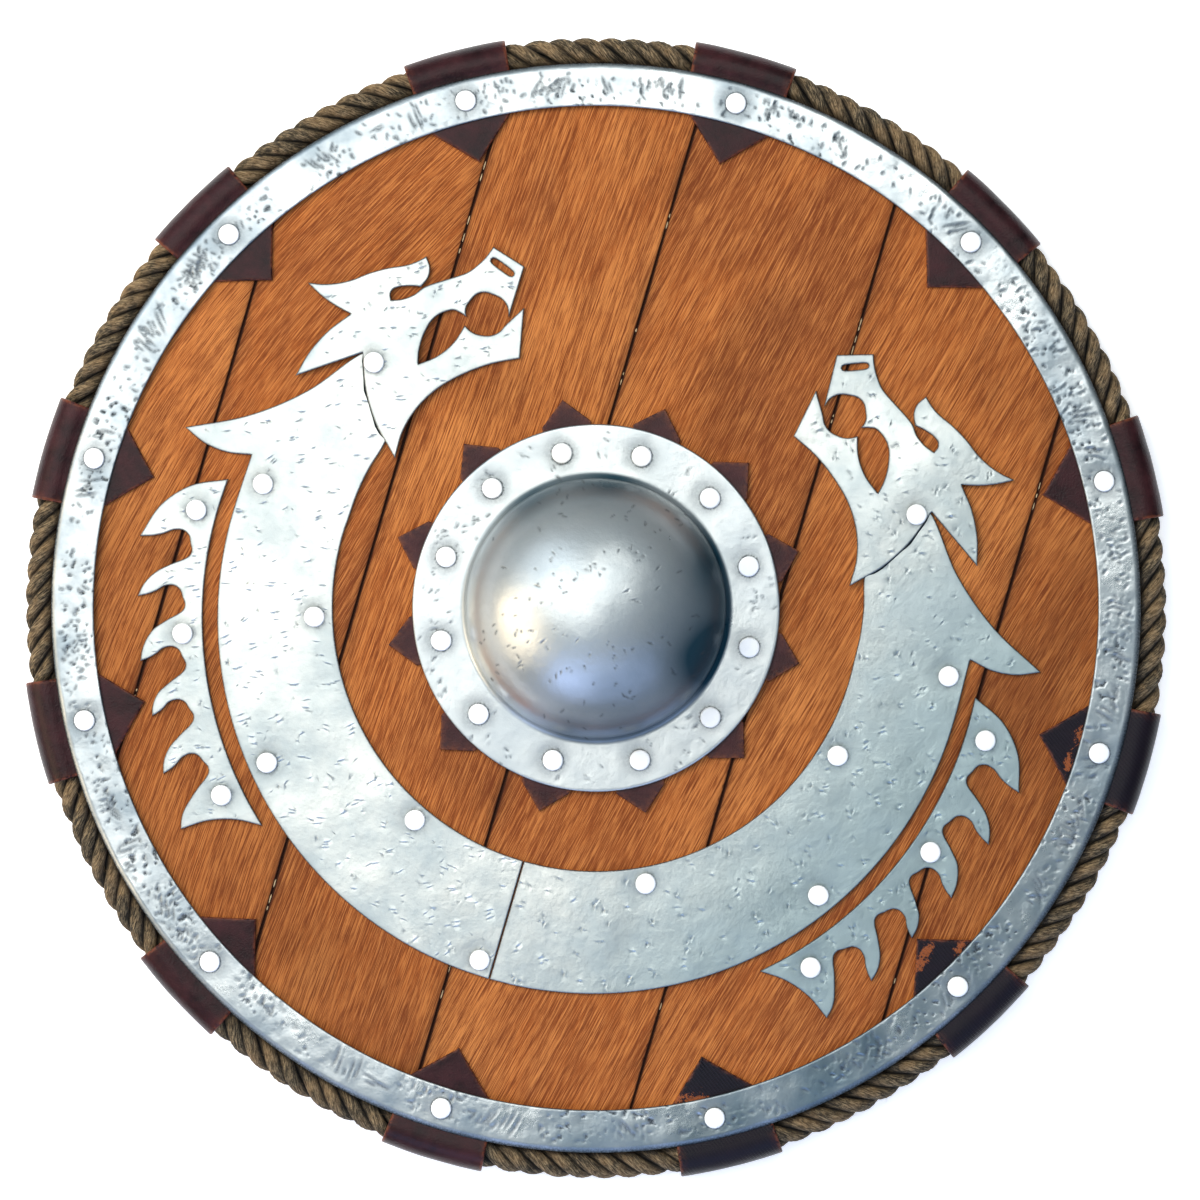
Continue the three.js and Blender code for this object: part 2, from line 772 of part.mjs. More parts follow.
const wood = new THREE.MeshStandardMaterial({ color: 0xa5591f, roughness: 0.6, metalness: 0 });
const gripWood = new THREE.MeshStandardMaterial({ color: 0x8a5a30, roughness: 0.65, metalness: 0 });
const leather = new THREE.MeshStandardMaterial({ color: 0x3a2024, roughness: 0.5, metalness: 0 });
const steel = new THREE.MeshStandardMaterial({ color: 0xb9c2c4, roughness: 0.35, metalness: 1 });
const hemp = new THREE.MeshStandardMaterial({ color: 0x6b5636, roughness: 0.95, metalness: 0 });

const shield = new THREE.Group();

function put(name, solid, material) {
  const mesh = new THREE.Mesh(geometryOf(solid), material);
  mesh.name = name;
  shield.add(mesh);
}

function numbered(name, i) {
  return `${name}_${String(i + 1).padStart(2, "0")}`;
}

planks().forEach((solid, i) => put(numbered("plank", i), solid, wood));
put("grip", grip(), gripWood);
put("rim_rope", rope(), hemp);
rimStraps().forEach((solid, i) => put(numbered("rim_strap", i), solid, leather));
put("rim_band", rimBand(), steel);
bossTabs().forEach((solid, i) => put(numbered("boss_tab", i), solid, leather));
put("boss", boss(), steel);
SIDES.forEach((side) => {
  put(`dragon_body_${side.name}`, dragonBody(side), steel);
  put(`dragon_head_${side.name}`, dragonHead(side), steel);
  put(`dragon_crest_${side.name}`, dragonCrest(side), steel);
});
dragonRivets.forEach(({ place, headZ, tailZ }, i) =>
  put(numbered("dragon_rivet", i), rivet(place, headZ, tailZ), steel),
);

export default shield;
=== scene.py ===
"""A round wooden war shield with a two-headed dragon in sheet steel, dressed over its CAD frame.

Points are worked out in millimetres in the shield's own frame and stored in metres: +Z out of the
front, +Y along the planks to the top, the origin under the middle.
"""

import math

import bpy
import numpy as np
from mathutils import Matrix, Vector
from mathutils.geometry import delaunay_2d_cdt
from mathutils.kdtree import KDTree


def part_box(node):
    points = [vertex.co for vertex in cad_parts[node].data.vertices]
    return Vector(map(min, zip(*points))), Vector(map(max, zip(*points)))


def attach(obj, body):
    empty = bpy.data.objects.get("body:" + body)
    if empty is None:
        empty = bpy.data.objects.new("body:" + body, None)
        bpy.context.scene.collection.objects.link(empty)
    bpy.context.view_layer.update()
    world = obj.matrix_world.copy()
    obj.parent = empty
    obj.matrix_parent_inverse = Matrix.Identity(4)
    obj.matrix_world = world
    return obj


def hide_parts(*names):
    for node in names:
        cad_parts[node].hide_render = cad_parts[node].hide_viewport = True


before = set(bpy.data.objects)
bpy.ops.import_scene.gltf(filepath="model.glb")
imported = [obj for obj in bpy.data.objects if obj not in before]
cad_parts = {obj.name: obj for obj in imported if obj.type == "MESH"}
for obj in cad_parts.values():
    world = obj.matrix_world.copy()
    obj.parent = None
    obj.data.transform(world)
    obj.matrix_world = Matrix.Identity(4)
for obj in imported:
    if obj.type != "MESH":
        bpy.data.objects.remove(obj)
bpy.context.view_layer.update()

MM = 0.001

# Camera, as the photo was taken

PHOTO_SIDE = 1200
PHOTO_MM_PER_PIXEL = 0.61
PHOTO_CENTRE_OF_SHIELD = (596, 608)
PHOTO_TURN = math.radians(16.3)
CAMERA_HEIGHT = 2500
FRONT_HEIGHT = 20


def add_object(name, data):
    thing = bpy.data.objects.new(name, data)
    bpy.context.collection.objects.link(thing)
    return thing


def in_photo(right, up, height):
    """A place in metres, given in millimetres along the photo's right and up axes."""
    x = right * math.cos(PHOTO_TURN) - up * math.sin(PHOTO_TURN)
    y = right * math.sin(PHOTO_TURN) + up * math.cos(PHOTO_TURN)
    return Vector((x, y, height)) * MM


def add_camera():
    data = bpy.data.cameras.new("camera")
    data.sensor_width = 36
    data.lens = 36 * CAMERA_HEIGHT / (PHOTO_SIDE * PHOTO_MM_PER_PIXEL)
    data.clip_end = 20
    camera = add_object("camera", data)
    across, down = PHOTO_CENTRE_OF_SHIELD
    right = (PHOTO_SIDE / 2 - across) * PHOTO_MM_PER_PIXEL
    up = (down - PHOTO_SIDE / 2) * PHOTO_MM_PER_PIXEL
    camera.location = in_photo(right, up, FRONT_HEIGHT + CAMERA_HEIGHT)
    camera.rotation_euler = (0, 0, PHOTO_TURN)
    bpy.context.scene.camera = camera


add_camera()

# Sizes, read from the frame


def node_box(node):
    """The node's lowest and highest corners in millimetres."""
    low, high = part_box(node)
    return np.array(low) / MM, np.array(high) / MM


BOARD_LOW, BOARD_HIGH = (corner[2] for corner in node_box("plank_03"))
ROPE_R = (node_box("rim_rope")[1][2] - node_box("rim_rope")[0][2]) / 2
ROPE_Z = node_box("rim_rope")[1][2] - ROPE_R
ROPE_RING_R = node_box("rim_rope")[1][0] - ROPE_R
BAND_OUTER_R = node_box("rim_band")[1][0]
TAB_LOW, TAB_HIGH = (corner[2] for corner in node_box("boss_tab_01"))
PLATE_LOW, PLATE_HIGH = (corner[2] for corner in node_box("dragon_body_left"))
FLANGE_R = node_box("boss")[1][1]
BOSS_TOP = node_box("boss")[1][2]
LAYER_GAP = TAB_LOW - BOARD_HIGH
LEATHER_T = TAB_HIGH - TAB_LOW
STEEL_LOW = TAB_HIGH + LAYER_GAP
BOARD_R = -node_box("plank_01")[0][0]

BAND_W = 26
BAND_T = 1.5
BOSS_T = 1.8
DOME_R = 79
DOME_FOOT = 4
RIVET_R = 6.3
RIVET_H = 1.8
SHANK_R = 2.6
TAIL_R = 4.2
TAIL_H = 0.9
HAND_HOLE_R = 70
RIM_RIVET_R = BOARD_R - 10.5
BOSS_RIVET_R = FLANGE_R - 15.6
STRAP_TIP_R = BOARD_R - 48.5
STRAP_BACK_R = BOARD_R - 26
STRAP_W = 64
STRAPS = 12

# Meshes

# Turns a grid's faces over, each from the same corner
FLIPPED = [0, 3, 2, 1]
NOISE_CELLS = 64
NOISE_START = 500.37


def add_piece(name, points, faces, material, stands_for, wear_and_shade, uv=None, sharp=35):
    """Adds a mesh from millimetre points, riding on the shield and standing for CAD nodes."""
    mesh = bpy.data.meshes.new(name)
    mesh.from_pydata((np.asarray(points) * MM).tolist(), [], [list(face) for face in faces])
    if uv is not None:
        corners = np.empty(len(mesh.loops), dtype=np.int32)
        mesh.loops.foreach_get("vertex_index", corners)
        layer = mesh.uv_layers.new(name="UVMap")
        layer.data.foreach_set("uv", np.asarray(uv)[corners].astype(np.float32).ravel())
    mesh.shade_smooth()
    mesh.set_sharp_from_angle(angle=math.radians(sharp))
    mesh.materials.append(material)
    piece = add_object(name, mesh)
    # The wear values hold grime and wear, and on rope, steel and rivets painted shade as well.
    add_values(piece, "wear_and_shade", wear_and_shade)
    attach(piece, "root")
    if stands_for:
        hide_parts(*stands_for)
    return piece


def add_values(piece, name, values):
    """Stores a number or a vector for each point of a piece."""
    values = np.asarray(values, dtype=np.float32)
    kind, field = ("FLOAT_VECTOR", "vector") if values.ndim == 2 else ("FLOAT", "value")
    piece.data.attributes.new(name, kind, "POINT").data.foreach_set(field, values.ravel())


def clouds(points, size, seed):
    """Smooth noise from -1 to 1 over the plan, in lumps about that many millimetres across."""
    lattice = np.random.default_rng(seed).uniform(-1, 1, (NOISE_CELLS, NOISE_CELLS))
    place = np.asarray(points)[:, :2] / size + NOISE_START
    cell = np.floor(place).astype(int)
    share = place - cell
    share = share * share * (3 - 2 * share)
    i, j = cell.T % NOISE_CELLS
    next_i, next_j = (i + 1) % NOISE_CELLS, (j + 1) % NOISE_CELLS
    u, v = share.T
    low = lattice[i, j] * (1 - u) + lattice[next_i, j] * u
    high = lattice[i, next_j] * (1 - u) + lattice[next_i, next_j] * u
    return low * (1 - v) + high * v


def unit(rows):
    return rows / np.linalg.norm(rows, axis=1)[:, None]


def rightward(path):
    """Unit steps to the right of a plane path at each of its points."""
    step = unit(np.gradient(path, axis=0))
    return np.column_stack([step[:, 1], -step[:, 0]])


def eased(value, start, end):
    """0 up to the start, 1 from the end, smooth between."""
    share = np.clip((value - start) / (end - start), 0, 1)
    return share * share * (3 - 2 * share)


def bell(away, width):
    """1 at no distance, falling off smoothly over about that width."""
    return np.exp(-((away / width) ** 2))


def toward(points, x, y):
    """How far each point lies along a direction in the plan."""
    return points[:, 0] * x + points[:, 1] * y


# Chisel and hammer marks on steel, short gouges with a raised lip, are kept as rows of
# (x, y, angle, length, width, depth) in the plan. Each kind has a spread of its angles, a
# length, a width, a depth and the most that lie together.
DASHES = (0.3, 3.2, 0.36, 0.24, 3)
PITS = (0.9, 2.2, 0.62, 0.26, 3)
NICKS = (0.9, 1.1, 0.42, 0.25, 2)
DOME_MARKS = (1.1, 2.8, 0.5, 0.24, 2)
FLANGE_MARKS = (0.9, 3.4, 0.5, 0.25, 3)


def add_marks(marks, places, rng, angle, spread, length, width, depth, crowd):
    """A few marks at each place, all near one angle in the plan."""
    for x, y in places:
        turn = angle + rng.normal(0, spread)
        for _ in range(rng.integers(1, crowd + 1)):
            dx, dy = rng.normal(0, 2.4, 2)
            size = rng.uniform(0.6, 1.3)
            lean = turn + rng.normal(0, spread / 2)
            wide, deep = rng.uniform((0.8, 0.6), (1.3, 1.4))
            marks.append((x + dx, y + dy, lean, length * size, width * wide, depth * deep))


def mark_relief(marks, points):
    """Height in millimetres, and from 0 to 1 how dark each point is: grime with painted shade in the
    cut.
    """
    height = np.zeros(len(points))
    grime_and_shade = np.zeros(len(points))
    x, y = np.asarray(points)[:, :2].T
    for cx, cy, angle, length, width, depth in marks:
        reach = length + 3 * width
        near = np.flatnonzero((np.abs(x - cx) < reach) & (np.abs(y - cy) < reach))
        dx, dy = x[near] - cx, y[near] - cy
        along = dx * math.cos(angle) + dy * math.sin(angle)
        across = -dx * math.sin(angle) + dy * math.cos(angle)
        across = across - 0.25 * width * np.cos(along / length * 3)
        taper = np.exp(-((2 * along / length) ** 4))
        cut = bell(across, width) * taper
        lip = bell(across - 1.5 * width, width) * taper
        height[near] += depth * (0.5 * lip - cut)
        grime_and_shade[near] = np.maximum(grime_and_shade[near], cut)
    return height, grime_and_shade


def mark_points(marks):
    """Extra points for a mesh, so that each mark keeps its shape."""
    extra = []
    for cx, cy, angle, length, width, _ in marks:
        c, s = math.cos(angle), math.sin(angle)
        along = np.arange(-0.55, 0.56, max(0.1, 0.9 / length))[:, None] * length
        across = np.array([-1.4, -0.7, 0, 0.7, 1.4, 2.2, 3.0]) * width
        x, y = cx + along * c - across * s, cy + along * s + across * c
        extra.append(np.column_stack([x.ravel(), y.ravel()]))
    return np.concatenate(extra)


def rivet_relief(points, places):
    """The dish that a hammered rivet leaves round its head, and grime with a painted shade round its
    foot.
    """
    height = np.zeros(len(points))
    grime_and_shade = np.zeros(len(points))
    for x, y in places:
        away = np.hypot(points[:, 0] - x, points[:, 1] - y) - RIVET_R
        height -= 0.25 * bell(away, 5)
        away = np.maximum(away, 0)
        grime_and_shade = np.maximum.reduce([grime_and_shade, bell(away, 0.7), 0.35 * bell(away, 5)])
    return height, grime_and_shade


def hammered(points, marks, places):
    """The relief of the marks and their grime with painted shade, then the dish of the rivets and
    their grime with painted shade.
    """
    return *mark_relief(marks, points), *rivet_relief(points, places)


# Outlines and plates

# Degrees above which an outline keeps its corner
SHARP_CORNER = 48
EDGE_SAMPLES = 0.4
# Rings of points inside a plate's edge, as shares of the width that is rounded
EDGE_RINGS = (0.3, 0.65, 1, 1.6)
TRIANGLE_ROWS = 0.866
SCATTER_TRIES = 6000


def plan_loops(node):
    """The node's outline from above as closed loops, the metal on their left, no rivet holes."""
    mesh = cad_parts[node].data
    after = {}
    for polygon in mesh.polygons:
        if polygon.normal.z < 0.5:
            continue
        ring = [tuple(np.round(np.array(mesh.vertices[v].co)[:2] / MM, 3)) for v in polygon.vertices]
        for a, b in zip(ring, ring[1:] + ring[:1]):
            if a in after.get(b, []):
                after[b].remove(a)
            else:
                after.setdefault(a, []).append(b)
    loops = []
    while any(after.values()):
        start = next(a for a, ends in after.items() if ends)
        loop = [start]
        while True:
            step = after[loop[-1]].pop()
            if step == start:
                break
            loop.append(step)
        if len(loop) > 4:
            loops.append(np.array(loop))
    return loops


def between(t, start, end, p, q):
    """The place at t on the line that is at p at the start and at q at the end."""
    return (end - t) / (end - start) * p + (t - start) / (end - start) * q


def curved(loop, step):
    """The loop with its facets rounded into curves, except at sharp corners."""
    before, after = np.roll(loop, 1, axis=0), np.roll(loop, -1, axis=0)
    into, out = loop - before, after - loop
    cross = into[:, 0] * out[:, 1] - into[:, 1] * out[:, 0]
    sharp = np.degrees(np.abs(np.arctan2(cross, (into * out).sum(axis=1)))) > SHARP_CORNER
    points = []
    count = len(loop)
    for i in range(count):
        p1, p2 = loop[i], loop[(i + 1) % count]
        p0 = 2 * p1 - p2 if sharp[i] else loop[i - 1]
        p3 = 2 * p2 - p1 if sharp[(i + 1) % count] else loop[(i + 2) % count]
        spans = [np.linalg.norm(q - p) for p, q in ((p0, p1), (p1, p2), (p2, p3))]
        pieces = max(1, int(round(spans[1] / step)))
        t0, t1, t2, t3 = np.cumsum([0, *(span**0.5 for span in spans)])
        for t in np.linspace(t1, t2, pieces, endpoint=False):
            a1, a2 = between(t, t0, t1, p0, p1), between(t, t1, t2, p1, p2)
            a3 = between(t, t2, t3, p2, p3)
            b1, b2 = between(t, t0, t2, a1, a2), between(t, t1, t3, a2, a3)
            points.append(between(t, t1, t2, b1, b2))
    return np.array(points)


def straight(loop, step):
    """The loop with more points along its edges, every corner kept."""
    points = []
    for p, q in zip(loop, np.roll(loop, -1, axis=0)):
        pieces = max(1, int(round(np.linalg.norm(q - p) / step)))
        points += [p + (q - p) * i / pieces for i in range(pieces)]
    return np.array(points)


def inside(points, loops):
    x, y = points.T
    odd = np.zeros(len(points), dtype=bool)
    for loop in loops:
        for (ax, ay), (bx, by) in zip(loop, np.roll(loop, -1, axis=0)):
            if ay != by:
                crosses = (ay > y) != (by > y)
                odd ^= crosses & (x < (bx - ax) * (y - ay) / (by - ay) + ax)
    return odd


def distance_to(points, loops):
    samples = np.concatenate([straight(loop, EDGE_SAMPLES) for loop in loops])
    tree = KDTree(len(samples))
    for i, (x, y) in enumerate(samples):
        tree.insert((x, y, 0), i)
    tree.balance()
    return np.array([tree.find((x, y, 0))[2] for x, y in points])


def plate(loops, thickness, spacing, edge, height_at, extra=None):
    """A sheet with rounded upper edges, as (points, faces, distance from the edge).

    height_at(points) gives the height of its upper face. Points further apart than the edge's
    rings are set in a triangular grid, and extra points go where there is finer relief.
    """
    outline = np.concatenate(loops)
    rings = [outline]
    for inset in (share * edge for share in EDGE_RINGS):
        for loop in loops:
            along = unit(np.roll(loop, -1, axis=0) - np.roll(loop, 1, axis=0))
            moved = loop + inset * np.column_stack([-along[:, 1], along[:, 0]])
            rings.append(moved[distance_to(moved, loops) > 0.93 * inset])
    low, high = outline.min(axis=0), outline.max(axis=0)
    rows = np.arange(low[1], high[1], spacing * TRIANGLE_ROWS)
    columns = np.arange(low[0], high[0], spacing)
    grid = np.array([(x + (r % 2) * spacing / 2, y) for r, y in enumerate(rows) for x in columns])
    if extra is not None and len(extra):
        grid = np.concatenate([grid, extra])
    grid = grid[inside(grid, loops)]
    grid = grid[distance_to(grid, loops) > 1.9 * edge]
    points = np.concatenate([*rings, grid])
    edges = []
    for loop in loops:
        start, count = len(edges), len(loop)
        edges += [(start + i, start + (i + 1) % count) for i in range(count)]
    places = [Vector(p) for p in points.tolist()]
    flat, _, triangles, *_ = delaunay_2d_cdt(places, edges, [], 0, 1e-4)
    flat, triangles = np.array([tuple(p) for p in flat]), np.array(triangles)
    triangles = triangles[inside(flat[triangles].mean(axis=1), loops)]
    used, faces = np.unique(triangles, return_inverse=True)
    flat, faces = flat[used], faces.reshape(-1, 3)
    away = distance_to(flat, loops)
    sides = np.concatenate([faces[:, pair] for pair in ([0, 1], [1, 2], [2, 0])]).tolist()
    known = {tuple(side) for side in sides}
    border = np.array(sorted(side for side in known if side[::-1] not in known))
    away[np.unique(border)] = 0
    upper = height_at(flat)
    rounded = edge * (1 - np.sqrt(np.clip(1 - (1 - np.clip(away / edge, 0, 1)) ** 2, 0, 1)))
    top = np.column_stack([flat, upper - rounded])
    bottom = np.column_stack([flat, upper - thickness])
    n = len(flat)
    a, b = border.T
    walls = np.concatenate([np.column_stack([a, a + n, b + n]), np.column_stack([a, b + n, b])])
    under = faces[:, ::-1] + n
    return (
        np.concatenate([top, bottom]),
        np.concatenate([faces, under, walls]),
        np.concatenate([away, np.zeros(n)]),
    )


def grid_faces(rows, columns, start=0, around=True, tube=False):
    """Quads between rows of points; around joins each row's ends, tube the last row to the first."""
    row, i = np.mgrid[: rows - (not tube), : columns - (not around)].reshape(2, -1)
    a, b = row * columns + i, row * columns + (i + 1) % columns
    count = rows * columns
    return start + np.column_stack([a, (a + columns) % count, (b + columns) % count, b])


def revolved(section, steps):
    """One ring of points round the axis for each (radius, height) of a section."""
    turns = math.tau * np.arange(steps) / steps
    c, s = np.cos(turns), np.sin(turns)
    return np.concatenate([np.column_stack([r * c, r * s, np.full(steps, z)]) for r, z in section])


def on_circle(radius, angle):
    """A place at a clockwise angle from the top."""
    return radius * math.sin(angle), radius * math.cos(angle)


def cad_points(node):
    """The CAD node's corners in millimetres."""
    return np.array([vertex.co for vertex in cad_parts[node].data.vertices]) / MM


def cad_rivets(node, radius):
    """The middles of the rivet heads that stand on a node, in their order round the circle."""
    points = cad_points(node)
    away = np.hypot(points[:, 0], points[:, 1])
    top = STEEL_LOW + (BAND_T if node == "rim_band" else BOSS_T) + RIVET_H
    heads = points[(np.abs(away - radius) < RIVET_R + 1) & (np.abs(points[:, 2] - top) < 0.05)]
    turns = np.arctan2(heads[:, 0], heads[:, 1])
    order = np.round(turns / (math.tau / STRAPS)).astype(int) % STRAPS
    heads = [heads[order == i] for i in range(STRAPS)]
    return [tuple((head.min(axis=0) + head.max(axis=0))[:2] / 2) for head in heads]


def turned(points, angle):
    """The points turned clockwise in the plan."""
    c, s = math.cos(angle), math.sin(angle)
    x, y = points.T
    return np.column_stack([x * c + y * s, -x * s + y * c])


# Materials


class Nodes:
    """A short way to write the node tree of a material or a world."""

    def __init__(self, name, kind="materials", shader="Principled BSDF"):
        self.data = getattr(bpy.data, kind).new(name)
        self.data.use_nodes = True
        self.tree = self.data.node_tree
        self.shader = self.tree.nodes[shader]

    def add(self, kind, settings=None, **inputs):
        node = self.tree.nodes.new("ShaderNode" + kind)
        for key, value in (settings or {}).items():
            setattr(node, key, value)
        self.fill(node, inputs)
        return node

    def fill(self, node, inputs):
        for key, value in inputs.items():
            self.put(node.inputs[key.replace("_", " ")], value)

    def put(self, socket, value):
        if isinstance(value, bpy.types.NodeSocket):
            self.tree.links.new(value, socket)
        else:
            socket.default_value = value

    def set(self, **inputs):
        self.fill(self.shader, inputs)

    def place(self, turn=0):
        """Object coordinates in metres, turned in the plan."""
        return self.mapped(self.add("TexCoord").outputs["Object"], Rotation=(0, 0, turn))

    def mapped(self, vector, **change):
        return self.add("Mapping", Vector=vector, **change).outputs["Vector"]

    def noise(self, vector, scale, detail=4, roughness=0.6, distortion=0):
        shape = {"Detail": detail, "Roughness": roughness, "Distortion": distortion}
        return self.add("TexNoise", Vector=vector, Scale=scale, **shape).outputs["Fac"]

    def ramp(self, value, *stops):
        """A colour ramp of (position, grey or colour) stops."""
        node = self.add("ValToRGB", Fac=value)
        elements = node.color_ramp.elements
        while len(elements) < len(stops):
            elements.new(1)
        for element, (position, colour) in zip(elements, stops):
            element.position = position
            grey = isinstance(colour, (int, float))
            element.color = (colour, colour, colour, 1) if grey else (*colour, 1)
        return node.outputs["Color"]

    def mix(self, factor, a, b):
        node = self.add("Mix", {"data_type": "RGBA"})
        self.put(node.inputs[0], factor)
        for socket, value in ((node.inputs[6], a), (node.inputs[7], b)):
            self.put(socket, (*value, 1) if isinstance(value, tuple) else value)
        return node.outputs[2]

    def layers(self, tone, *rows):
        """Lays each row's colour over the tone where the ramp of its value is high."""
        for value, low, high, colour in rows:
            tone = self.mix(self.ramp(value, low, high), tone, colour)
        return tone

    def math(self, operation, a, b):
        node = self.add("Math", {"operation": operation})
        self.put(node.inputs[0], a)
        self.put(node.inputs[1], b)
        return node.outputs[0]

    def attribute(self, name, output="Fac"):
        return self.add("Attribute", {"attribute_name": name}).outputs[output]

    def bump(self, height, distance, strength, normal=None):
        node = self.add("Bump", Height=height, Distance=distance, Strength=strength)
        if normal is not None:
            self.put(node.inputs["Normal"], normal)
        return node.outputs["Normal"]


def steel(name, light, dark, roughness, painted_shade=None, metallic=1, shade_metallic=1, specular=0.5):
    """Hammered sheet. The wear attribute darkens it with grime and painted shade, and the blued
    attribute lays on a painted dark blue shade.
    """
    n = Nodes(name)
    place = n.place()
    patches = n.noise(place, 22, 5, 0.6)
    specks = n.noise(place, 420, 4, 0.7)
    tone = n.layers(
        dark, (patches, (0.36, 0), (0.62, 1), light), (specks, (0.55, 0), (0.75, 0.35), dark)
    )
    grime_and_shade = n.attribute("wear_and_shade")
    spread = n.math("MULTIPLY", grime_and_shade, n.ramp(n.noise(place, 900, 3), (0.3, 0.55), (0.6, 1)))
    # Painted shade: a dark blue tint laid over the tone.
    if painted_shade:
        shade_share = n.attribute("painted_shade")
        tone = n.mix(shade_share, tone, painted_shade)
        metallic = n.ramp(shade_share, (0, metallic), (1, shade_metallic))
    # The near-black colour is grime and painted shade.
    tone = n.mix(spread, tone, (0.06, 0.07, 0.075))
    rough = n.ramp(patches, (0.3, roughness * 1.3), (0.7, roughness * 0.85))
    rough = n.math("ADD", rough, n.math("MULTIPLY", spread, 0.35))
    n.set(Base_Color=tone, Metallic=metallic, Roughness=rough, Specular_IOR_Level=specular)
    fine = n.bump(specks, 0.00012, 0.5)
    n.set(Normal=n.bump(n.noise(place, 130, 3), 0.0006, 0.35, fine))
    return n.data


def leather(name, light, dark, red, woven=False):
    """Worn leather. The wear attribute rubs its edges red, the rub attribute lays it bare."""
    n = Nodes(name)
    place = n.place()
    patches = n.noise(place, 45, 5, 0.65)
    scuffs = n.noise(place, 260, 6, 0.75)
    pale = tuple(c * 1.9 for c in light)
    tone = n.layers(
        dark, (patches, (0.35, 0), (0.65, 1), light), (scuffs, (0.58, 0), (0.75, 0.35), pale)
    )
    worn = n.math("MULTIPLY", n.ramp(scuffs, (0.42, 0), (0.55, 1)), n.attribute("wear_and_shade"))
    tone = n.mix(worn, tone, red)
    speckle = n.noise(place, 620, 5, 0.75)
    bare = n.math("ADD", n.attribute("rub"), n.ramp(speckle, (0.25, 0), (0.75, 1)))
    tone = n.mix(n.ramp(bare, (0.93, 0), (1.06, 1)), tone, (0.27, 0.07, 0.018))
    n.set(Roughness=n.ramp(patches, (0.3, 0.26), (0.7, 0.42)), Specular_IOR_Level=0.22)
    if woven:
        threads = n.place(0.6)
        across, along = (
            n.add("TexWave", {"bands_direction": way}, Vector=threads, Scale=scale)
            for way, scale in (("X", 270.0), ("Y", 170.0))
        )
        weave = n.math("MULTIPLY", across.outputs["Fac"], along.outputs["Fac"])
        tone = n.mix(n.ramp(weave, (0.3, 0), (0.8, 0.3)), tone, tuple(c * 3 for c in light))
        grain = n.bump(weave, 0.00025, 0.7)
    else:
        pores = n.add("TexVoronoi", Vector=place, Scale=900.0).outputs["Distance"]
        grain = n.bump(pores, 0.00025, 0.5)
    n.set(Base_Color=tone, Normal=n.bump(patches, 0.0012, 0.4, grain))
    return n.data


def wood(name, tones):
    """Stained wood. The grain attribute holds metres across and along the grain of each board."""
    n = Nodes(name)
    along = n.attribute("grain", "Vector")

    def grain(x, y):
        return n.mapped(along, Scale=(x, y, x))

    broad = n.noise(grain(9, 5), 1, 4, 0.6, 0.4)
    blotch = n.noise(grain(70, 16), 1, 6, 0.75)
    lines = n.noise(grain(2100, 24), 1, 2, 0.5)
    streaks = n.noise(grain(420, 9), 1, 4, 0.6)
    dashes = n.noise(grain(2500, 80), 1, 2, 0.6)
    dark, middle, light = tones
    tone = n.layers(
        n.ramp(broad, (0.38, dark), (0.5, middle), (0.66, light)),
        (blotch, (0.5, 0), (0.68, 0.5), light),
        (blotch, (0.34, 0.9), (0.48, 0), dark),
        (streaks, (0.36, 0.5), (0.48, 0), dark),
        (streaks, (0.54, 0), (0.66, 0.3), light),
        (lines, (0.38, 1), (0.5, 0), dark),
        (lines, (0.51, 0), (0.64, 0.75), light),
        (dashes, (0.52, 0), (0.65, 0.6), light),
        (dashes, (0.36, 0.85), (0.48, 0), dark),
    )
    tone = n.mix(n.attribute("wear_and_shade"), tone, tuple(c * 0.13 for c in dark))
    n.set(Base_Color=tone, Roughness=n.ramp(lines, (0.3, 0.65), (0.7, 0.5)))
    n.set(Specular_IOR_Level=0.16)
    deep = n.bump(dashes, 0.0003, 0.5)
    n.set(Normal=n.bump(lines, 0.0005, 0.4, deep))
    return n.data


def hemp():
    """Rope strands. UV runs along the strand in metres and once round it."""
    n = Nodes("hemp")
    uv = n.add("UVMap", {"uv_map": "UVMap"}).outputs["UV"]
    twisted = n.mapped(uv, Rotation=(0, 0, 0.3), Scale=(70, 11, 1))
    fibres = n.noise(twisted, 2.5, 6, 0.75, 0.4)
    patches = n.noise(n.place(), 48, 5, 0.65)
    specks = n.noise(n.place(), 700, 4, 0.7)
    dark = (0.03, 0.02, 0.011)
    tone = n.layers(
        (0.045, 0.034, 0.02),
        (patches, (0.45, 0), (0.58, 1), (0.22, 0.135, 0.062)),
        (fibres, (0.47, 0), (0.64, 0.85), (0.55, 0.39, 0.21)),
        (fibres, (0.35, 1), (0.48, 0), dark),
        (specks, (0.3, 0.6), (0.45, 0), dark),
    )
    # Painted shade between the strands and under the band, from the wear attribute.
    tone = n.mix(n.attribute("wear_and_shade"), tone, (0.014, 0.01, 0.006))
    n.set(Base_Color=tone, Roughness=0.9)
    fuzz = n.bump(specks, 0.0009, 1.0)
    n.set(Normal=n.bump(fibres, 0.0014, 1.0, fuzz))
    return n.data


# The colour after each roughness is that steel's painted shade.
BAND_STEEL = steel("band_steel", (0.72, 0.74, 0.74), (0.4, 0.46, 0.5), 0.28, (0.12, 0.19, 0.23))
DOME_SHADE = (0.008, 0.045, 0.068)
BOSS_STEEL = steel(
    "boss_steel", (0.78, 0.8, 0.79), (0.66, 0.7, 0.71), 0.32, DOME_SHADE, 0.92, 0.22, 0.2
)
PLATE_STEEL = steel(
    "plate_steel", (0.77, 0.775, 0.74), (0.58, 0.63, 0.63), 0.33, (0.45, 0.54, 0.55)
)
